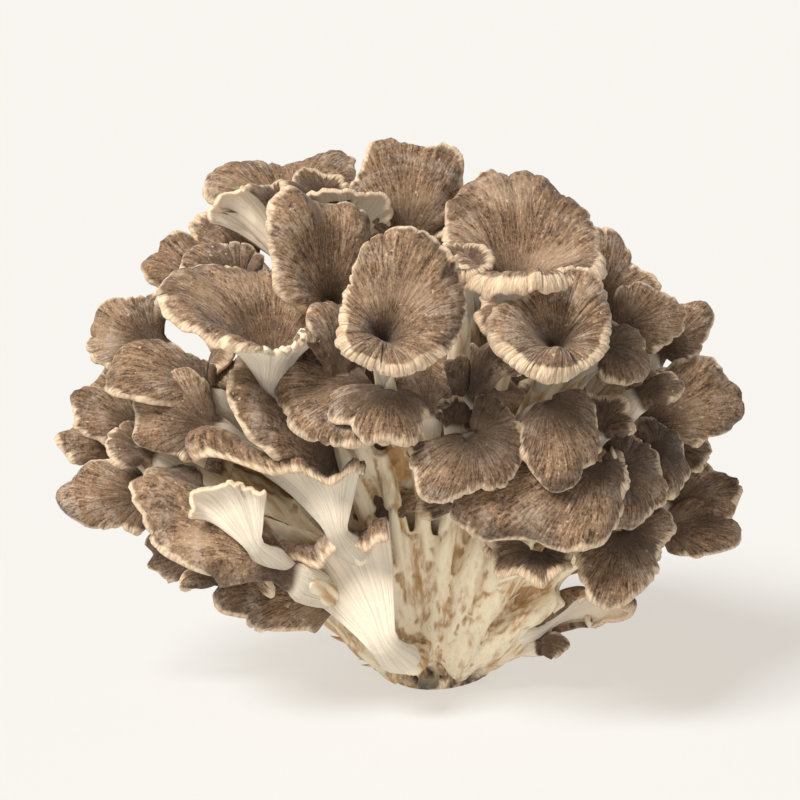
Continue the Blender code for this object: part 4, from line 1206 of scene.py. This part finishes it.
def bare_tubes():
    """Every stalk, branch and rib as a closed tube, together with the foot."""
    holder = stalk_curves()
    tubes = grown_mesh(holder, tubes_tree(), {"Sides": 12, "Thickness": 0.96,
                                              "Material": finish_named("stem_flesh")})
    bpy.data.objects.remove(holder)
    shape = bmesh.new()
    shape.from_mesh(tubes)
    shape.from_mesh(foot_shell())
    shape.to_mesh(tubes)
    shape.free()
    return tubes


def cut_at_ground(mesh):
    """Cut a mesh flat at the ground and close the cut."""
    shape = bmesh.new()
    shape.from_mesh(mesh)
    geometry = shape.verts[:] + shape.edges[:] + shape.faces[:]
    cut = bmesh.ops.bisect_plane(shape, geom=geometry, dist=1e-6, plane_co=(0, 0, 0),
                                 plane_no=(0, 0, -1), clear_outer=True)
    edges = [item for item in cut["geom_cut"] if isinstance(item, bmesh.types.BMEdge)]
    bmesh.ops.holes_fill(shape, edges=edges, sides=0)
    shape.to_mesh(mesh)
    shape.free()


def fused_stem(sizes):
    """Foot, branches and stalks fused into one skin and cut flat at the ground."""
    body = bpy.data.objects.new("stem", bare_tubes())
    bpy.context.scene.collection.objects.link(body)
    skin = body.modifiers.new("one_skin", "REMESH")
    skin.mode, skin.voxel_size = "VOXEL", sizes.stem_grain
    settle = body.modifiers.new("soft_joints", "SMOOTH")
    settle.factor, settle.iterations = 0.5, 3
    lighter = body.modifiers.new("fewer_faces", "DECIMATE")
    lighter.ratio = STEM_SHARE_KEPT
    graph = bpy.context.evaluated_depsgraph_get()
    mesh = bpy.data.meshes.new_from_object(body.evaluated_get(graph))
    bpy.data.objects.remove(body)
    cut_at_ground(mesh)
    return mesh


def patch_at(places, centre, radius):
    """A soft round patch, 1 at its centre."""
    return np.exp(-(np.linalg.norm(places - centre, axis=1) / radius) ** 2)


def stem_grooves(places, way):
    """Broad grooves and fine threads that run along the fibres, each 0 to about 1."""
    field = way * 100 + places * 0.22
    broad, fine = ripple(field, 11, 1), ripple(field, 4.6, 2)
    strength = 0.55 + 0.45 * ripple(places, 26, 5)
    groove = np.exp(-(broad / 0.16) ** 2) * strength
    thread = np.exp(-(fine / 0.22) ** 2) * (1.2 - strength)
    return groove, thread


def carve_stem(mesh, sizes):
    """Long fibre grooves, lumps and pits in the stem, and the values that its finish reads."""
    places, normals = points_of(mesh)
    height = places[:, 2]
    away = places - np.array(FIBRE_SOURCE)
    way = away / np.linalg.norm(away, axis=1)[:, None]
    groove, thread = stem_grooves(places, way)
    depth = sizes.fibre_depth / MM
    lump = ripple(places, 17, 4) * smooth(34, 6, height)
    shift = -1.5 * depth * groove - 0.55 * depth * thread + 0.9 * lump
    pit = np.zeros(len(places))
    for x, y, z, radius, deep in PITS:
        near = patch_at(places, (x, y, z), radius)
        pit = np.maximum(pit, near)
        shift -= deep * near
    moved = places + normals * (shift * smooth(0.0, 1.5, height))[:, None]
    moved[:, 2] = np.maximum(moved[:, 2], 0)
    moved[height < 0.01, 2] = 0
    mesh.vertices.foreach_set("co", (moved * MM).astype(np.float32).ravel())
    hollow = valleys(mesh, moved, normals)
    # Mask of the grooves, threads and hollows, which the finish paints with stain and painted shade.
    add_values(mesh, "cleft", np.clip(0.75 * groove + 0.3 * thread + 0.9 * smooth(0.05, 0.7, hollow), 0, 1))
    add_values(mesh, "pit", smooth(0.25, 0.7, pit))
    add_values(mesh, "fibre_way", way)
    torn = smooth(0.35, 0.8, ripple(places, 15, 8)) * smooth(62, 40, height) * smooth(1, 4, height)
    front = patch_at(places, (2, -24, 34), 9)
    fringe = patch_at(places, (-13, -16, 6), 8)
    add_values(mesh, "torn", np.clip(0.5 * torn + 1.6 * front + 1.2 * fringe, 0, 2))
    gritty = smooth(-0.1, 0.6, ripple(places, 6, 9))
    add_values(mesh, "soil", smooth(7, 2, height) * smooth(0.3, 1.2, height) * gritty)
    mesh.update()


def splinter_shape():
    """A thin pointed flake of torn tissue, six millimetres long, along Z."""
    turn = np.arange(5) * 2 * math.pi / 5
    rings = []
    for part, wide in ((0, 0.75), (0.35, 0.62), (0.7, 0.34), (0.93, 0.1)):
        rings.append(np.stack((wide * np.cos(turn), 0.36 * wide * np.sin(turn) + 0.9 * part ** 2,
                               np.full(5, 6.5 * part - 1)), 1))
    return shell_of("splinter", rings, np.array((rings[0].mean(0), rings[-1].mean(0) + (0, 0.1, 0.4))))


def crumb_shape():
    """A small uneven crumb."""
    shape = bmesh.new()
    bmesh.ops.create_icosphere(shape, subdivisions=1, radius=0.0005)
    for corner in shape.verts:
        corner.co *= 1 + 0.35 * math.sin(corner.index * 2.4)
        corner.co.z *= 0.7
    mesh = bpy.data.meshes.new("crumb")
    shape.to_mesh(mesh)
    shape.free()
    return mesh


def scattered(name, mesh, density, scales, tilt, seed, material):
    """Copies of a small mesh over the stem, none of them below the ground, as one piece."""
    stem = bpy.data.objects["stem"]
    mesh.materials.append(finish_named(material))
    shape = bpy.data.objects.new(name + "_shape", mesh)
    base = bpy.data.objects.new(name + "_base", stem.data.copy())
    for item in (shape, base):
        bpy.context.scene.collection.objects.link(item)
    result = grown_mesh(base, scatter_tree(name), {
        "Density": float(density), "Smallest": scales[0], "Largest": scales[1], "Tilt": tilt, "Seed": seed,
        "Shape": shape, "Material": finish_named(material)})
    bpy.data.objects.remove(base)
    bpy.data.objects.remove(shape)
    if not len(result.polygons):
        raise RuntimeError(name + ": nothing grew on the stem")
    places = points_of(result)[0]
    places[:, 2] = np.maximum(places[:, 2], 0)
    result.vertices.foreach_set("co", (places * MM).astype(np.float32).ravel())
    return result


# --- Operators --------------------------------------------------------------------------
class MAITAKE_OT_stem(bpy.types.Operator):
    """Build the fused stem on its cut foot"""
    bl_idname = "maitake.stem"
    bl_label = "Stem"

    def execute(self, context):
        sizes = context.scene.maitake_sizes
        mesh = fused_stem(sizes)
        carve_stem(mesh, sizes)
        mesh.shade_smooth()
        piece_of("stem", mesh, finish_named("stem_flesh"))
        return {"FINISHED"}


class FrondGroup:
    """Shared making of one group of fronds."""

    def execute(self, context):
        _, rows, spacing = GROUPS[self.group]
        mesh = leaves_mesh(self.group, rows, spacing, context.scene.maitake_sizes)
        piece_of(self.group, mesh, finish_named("frond_flesh"))
        return {"FINISHED"}


def group_operator(name, text):
    """The operator that builds one group of fronds."""
    label = name.replace("_", " ").title()
    members = {"__doc__": text, "bl_idname": "maitake." + name, "bl_label": label, "group": name}
    return type("MAITAKE_OT_" + name, (FrondGroup, bpy.types.Operator), members)


GROUP_OPERATORS = tuple(group_operator(name, row[0]) for name, row in GROUPS.items())


class MAITAKE_OT_splinters(bpy.types.Operator):
    """Grow torn fibres over the stem"""
    bl_idname = "maitake.splinters"
    bl_label = "Torn Fibres"

    def execute(self, context):
        sizes = context.scene.maitake_sizes
        mesh = scattered("torn", splinter_shape(), sizes.splinters, (0.35, 1.25), 0.35, sizes.seed,
                         "stem_flesh")
        piece_of("torn_fibres", mesh, finish_named("stem_flesh"))
        return {"FINISHED"}


class MAITAKE_OT_crumbs(bpy.types.Operator):
    """Leave crumbs of soil on the foot"""
    bl_idname = "maitake.crumbs"
    bl_label = "Soil Crumbs"

    def execute(self, context):
        sizes = context.scene.maitake_sizes
        mesh = scattered("soil", crumb_shape(), sizes.crumbs, (0.4, 1.6), 1.5, sizes.seed, "soil_crumb")
        piece_of("soil_crumbs", mesh, finish_named("soil_crumb"))
        return {"FINISHED"}


# --- Stage ------------------------------------------------------------------------------
CAMERA_LENS = 150.0             # mm on a 36 mm sensor
CAMERA_LIFT = math.radians(12)
VIEW_WIDTH = 0.2336             # metres across the frame, at the cluster's axis
VIEW_SHIFT = -0.0073            # metres, middle of the frame along X
VIEW_HEIGHT = 0.0788            # metres, middle of the frame along the view's upward way
FLOOR_SIZE = 8.0                # metres from the middle to a side
SKY_TINT = (1.0, 0.985, 0.96)
SKY_STRENGTH = 0.27


def add_light(name, kind, place, aim, energy, size, tint):
    """One soft studio light aimed at a point."""
    data = bpy.data.lights.new(name, kind)
    data.energy = energy
    data.color = tint
    if kind == "SUN":
        data.angle = size
    else:
        data.size = size
    lamp = bpy.data.objects.new(name, data)
    lamp.location = place
    lamp.rotation_euler = (Vector(aim) - Vector(place)).to_track_quat("-Z", "Y").to_euler()
    bpy.context.scene.collection.objects.link(lamp)


class MAITAKE_OT_stage(bpy.types.Operator):
    """Set up the plain floor, the soft light and the camera"""
    bl_idname = "maitake.stage"
    bl_label = "Stage"

    def execute(self, context):
        scene = context.scene
        shape = bmesh.new()
        bmesh.ops.create_grid(shape, x_segments=1, y_segments=1, size=FLOOR_SIZE)
        mesh = bpy.data.meshes.new("floor")
        shape.to_mesh(mesh)
        shape.free()
        mesh.materials.append(finish_named("plain_floor"))
        floor = bpy.data.objects.new("floor", mesh)
        scene.collection.objects.link(floor)
        world = bpy.data.worlds.new("studio")
        world.use_nodes = True
        sky = world.node_tree.nodes["Background"]
        sky.inputs["Color"].default_value = (*SKY_TINT, 1)
        sky.inputs["Strength"].default_value = SKY_STRENGTH
        scene.world = world
        add_light("key", "SUN", (-0.55, -0.5, 0.95), (0, 0, 0.08), 4.45, math.radians(24), (1.0, 0.97, 0.925))
        add_light("front", "AREA", (0.12, -0.9, 0.1), (0, 0, 0.06), 1.7, 0.5, (1.0, 0.97, 0.93))
        camera = bpy.data.cameras.new("camera")
        camera.lens, camera.sensor_width = CAMERA_LENS, 36
        holder = bpy.data.objects.new("camera", camera)
        up = Vector((0, math.sin(CAMERA_LIFT), math.cos(CAMERA_LIFT)))
        back = Vector((0, -math.cos(CAMERA_LIFT), math.sin(CAMERA_LIFT)))
        target = Vector((VIEW_SHIFT, 0, 0)) + up * VIEW_HEIGHT
        holder.location = target + back * VIEW_WIDTH * CAMERA_LENS / 36
        holder.rotation_euler = (-back).to_track_quat("-Z", "Y").to_euler()
        scene.collection.objects.link(holder)
        scene.camera = holder
        scene.view_settings.view_transform = "Standard"
        return {"FINISHED"}


STEPS = (MAITAKE_OT_stage, MAITAKE_OT_stem, *GROUP_OPERATORS, MAITAKE_OT_splinters, MAITAKE_OT_crumbs)


class MAITAKE_PT_cluster(bpy.types.Panel):
    """Settings and steps of the maitake cluster"""
    bl_label = "Maitake"
    bl_idname = "MAITAKE_PT_cluster"
    bl_space_type = "VIEW_3D"
    bl_region_type = "UI"
    bl_category = "Maitake"

    def draw(self, context):
        layout = self.layout
        for group in (context.scene.maitake_sizes, context.scene.maitake_colours):
            box = layout.box()
            for key in group.__annotations__:
                box.prop(group, key)
        for step in STEPS:
            layout.operator(step.bl_idname)


CLASSES = (MaitakeSizes, MaitakeColours) + STEPS + (MAITAKE_PT_cluster,)


def register():
    for item in CLASSES:
        bpy.utils.register_class(item)
    bpy.types.Scene.maitake_sizes = bpy.props.PointerProperty(type=MaitakeSizes)
    bpy.types.Scene.maitake_colours = bpy.props.PointerProperty(type=MaitakeColours)


def unregister():
    del bpy.types.Scene.maitake_colours
    del bpy.types.Scene.maitake_sizes
    for item in reversed(CLASSES):
        bpy.utils.unregister_class(item)


def main():
    register()
    for step in STEPS:
        area, name = step.bl_idname.split(".")
        getattr(getattr(bpy.ops, area), name)()


if __name__ == "__main__":
    main()
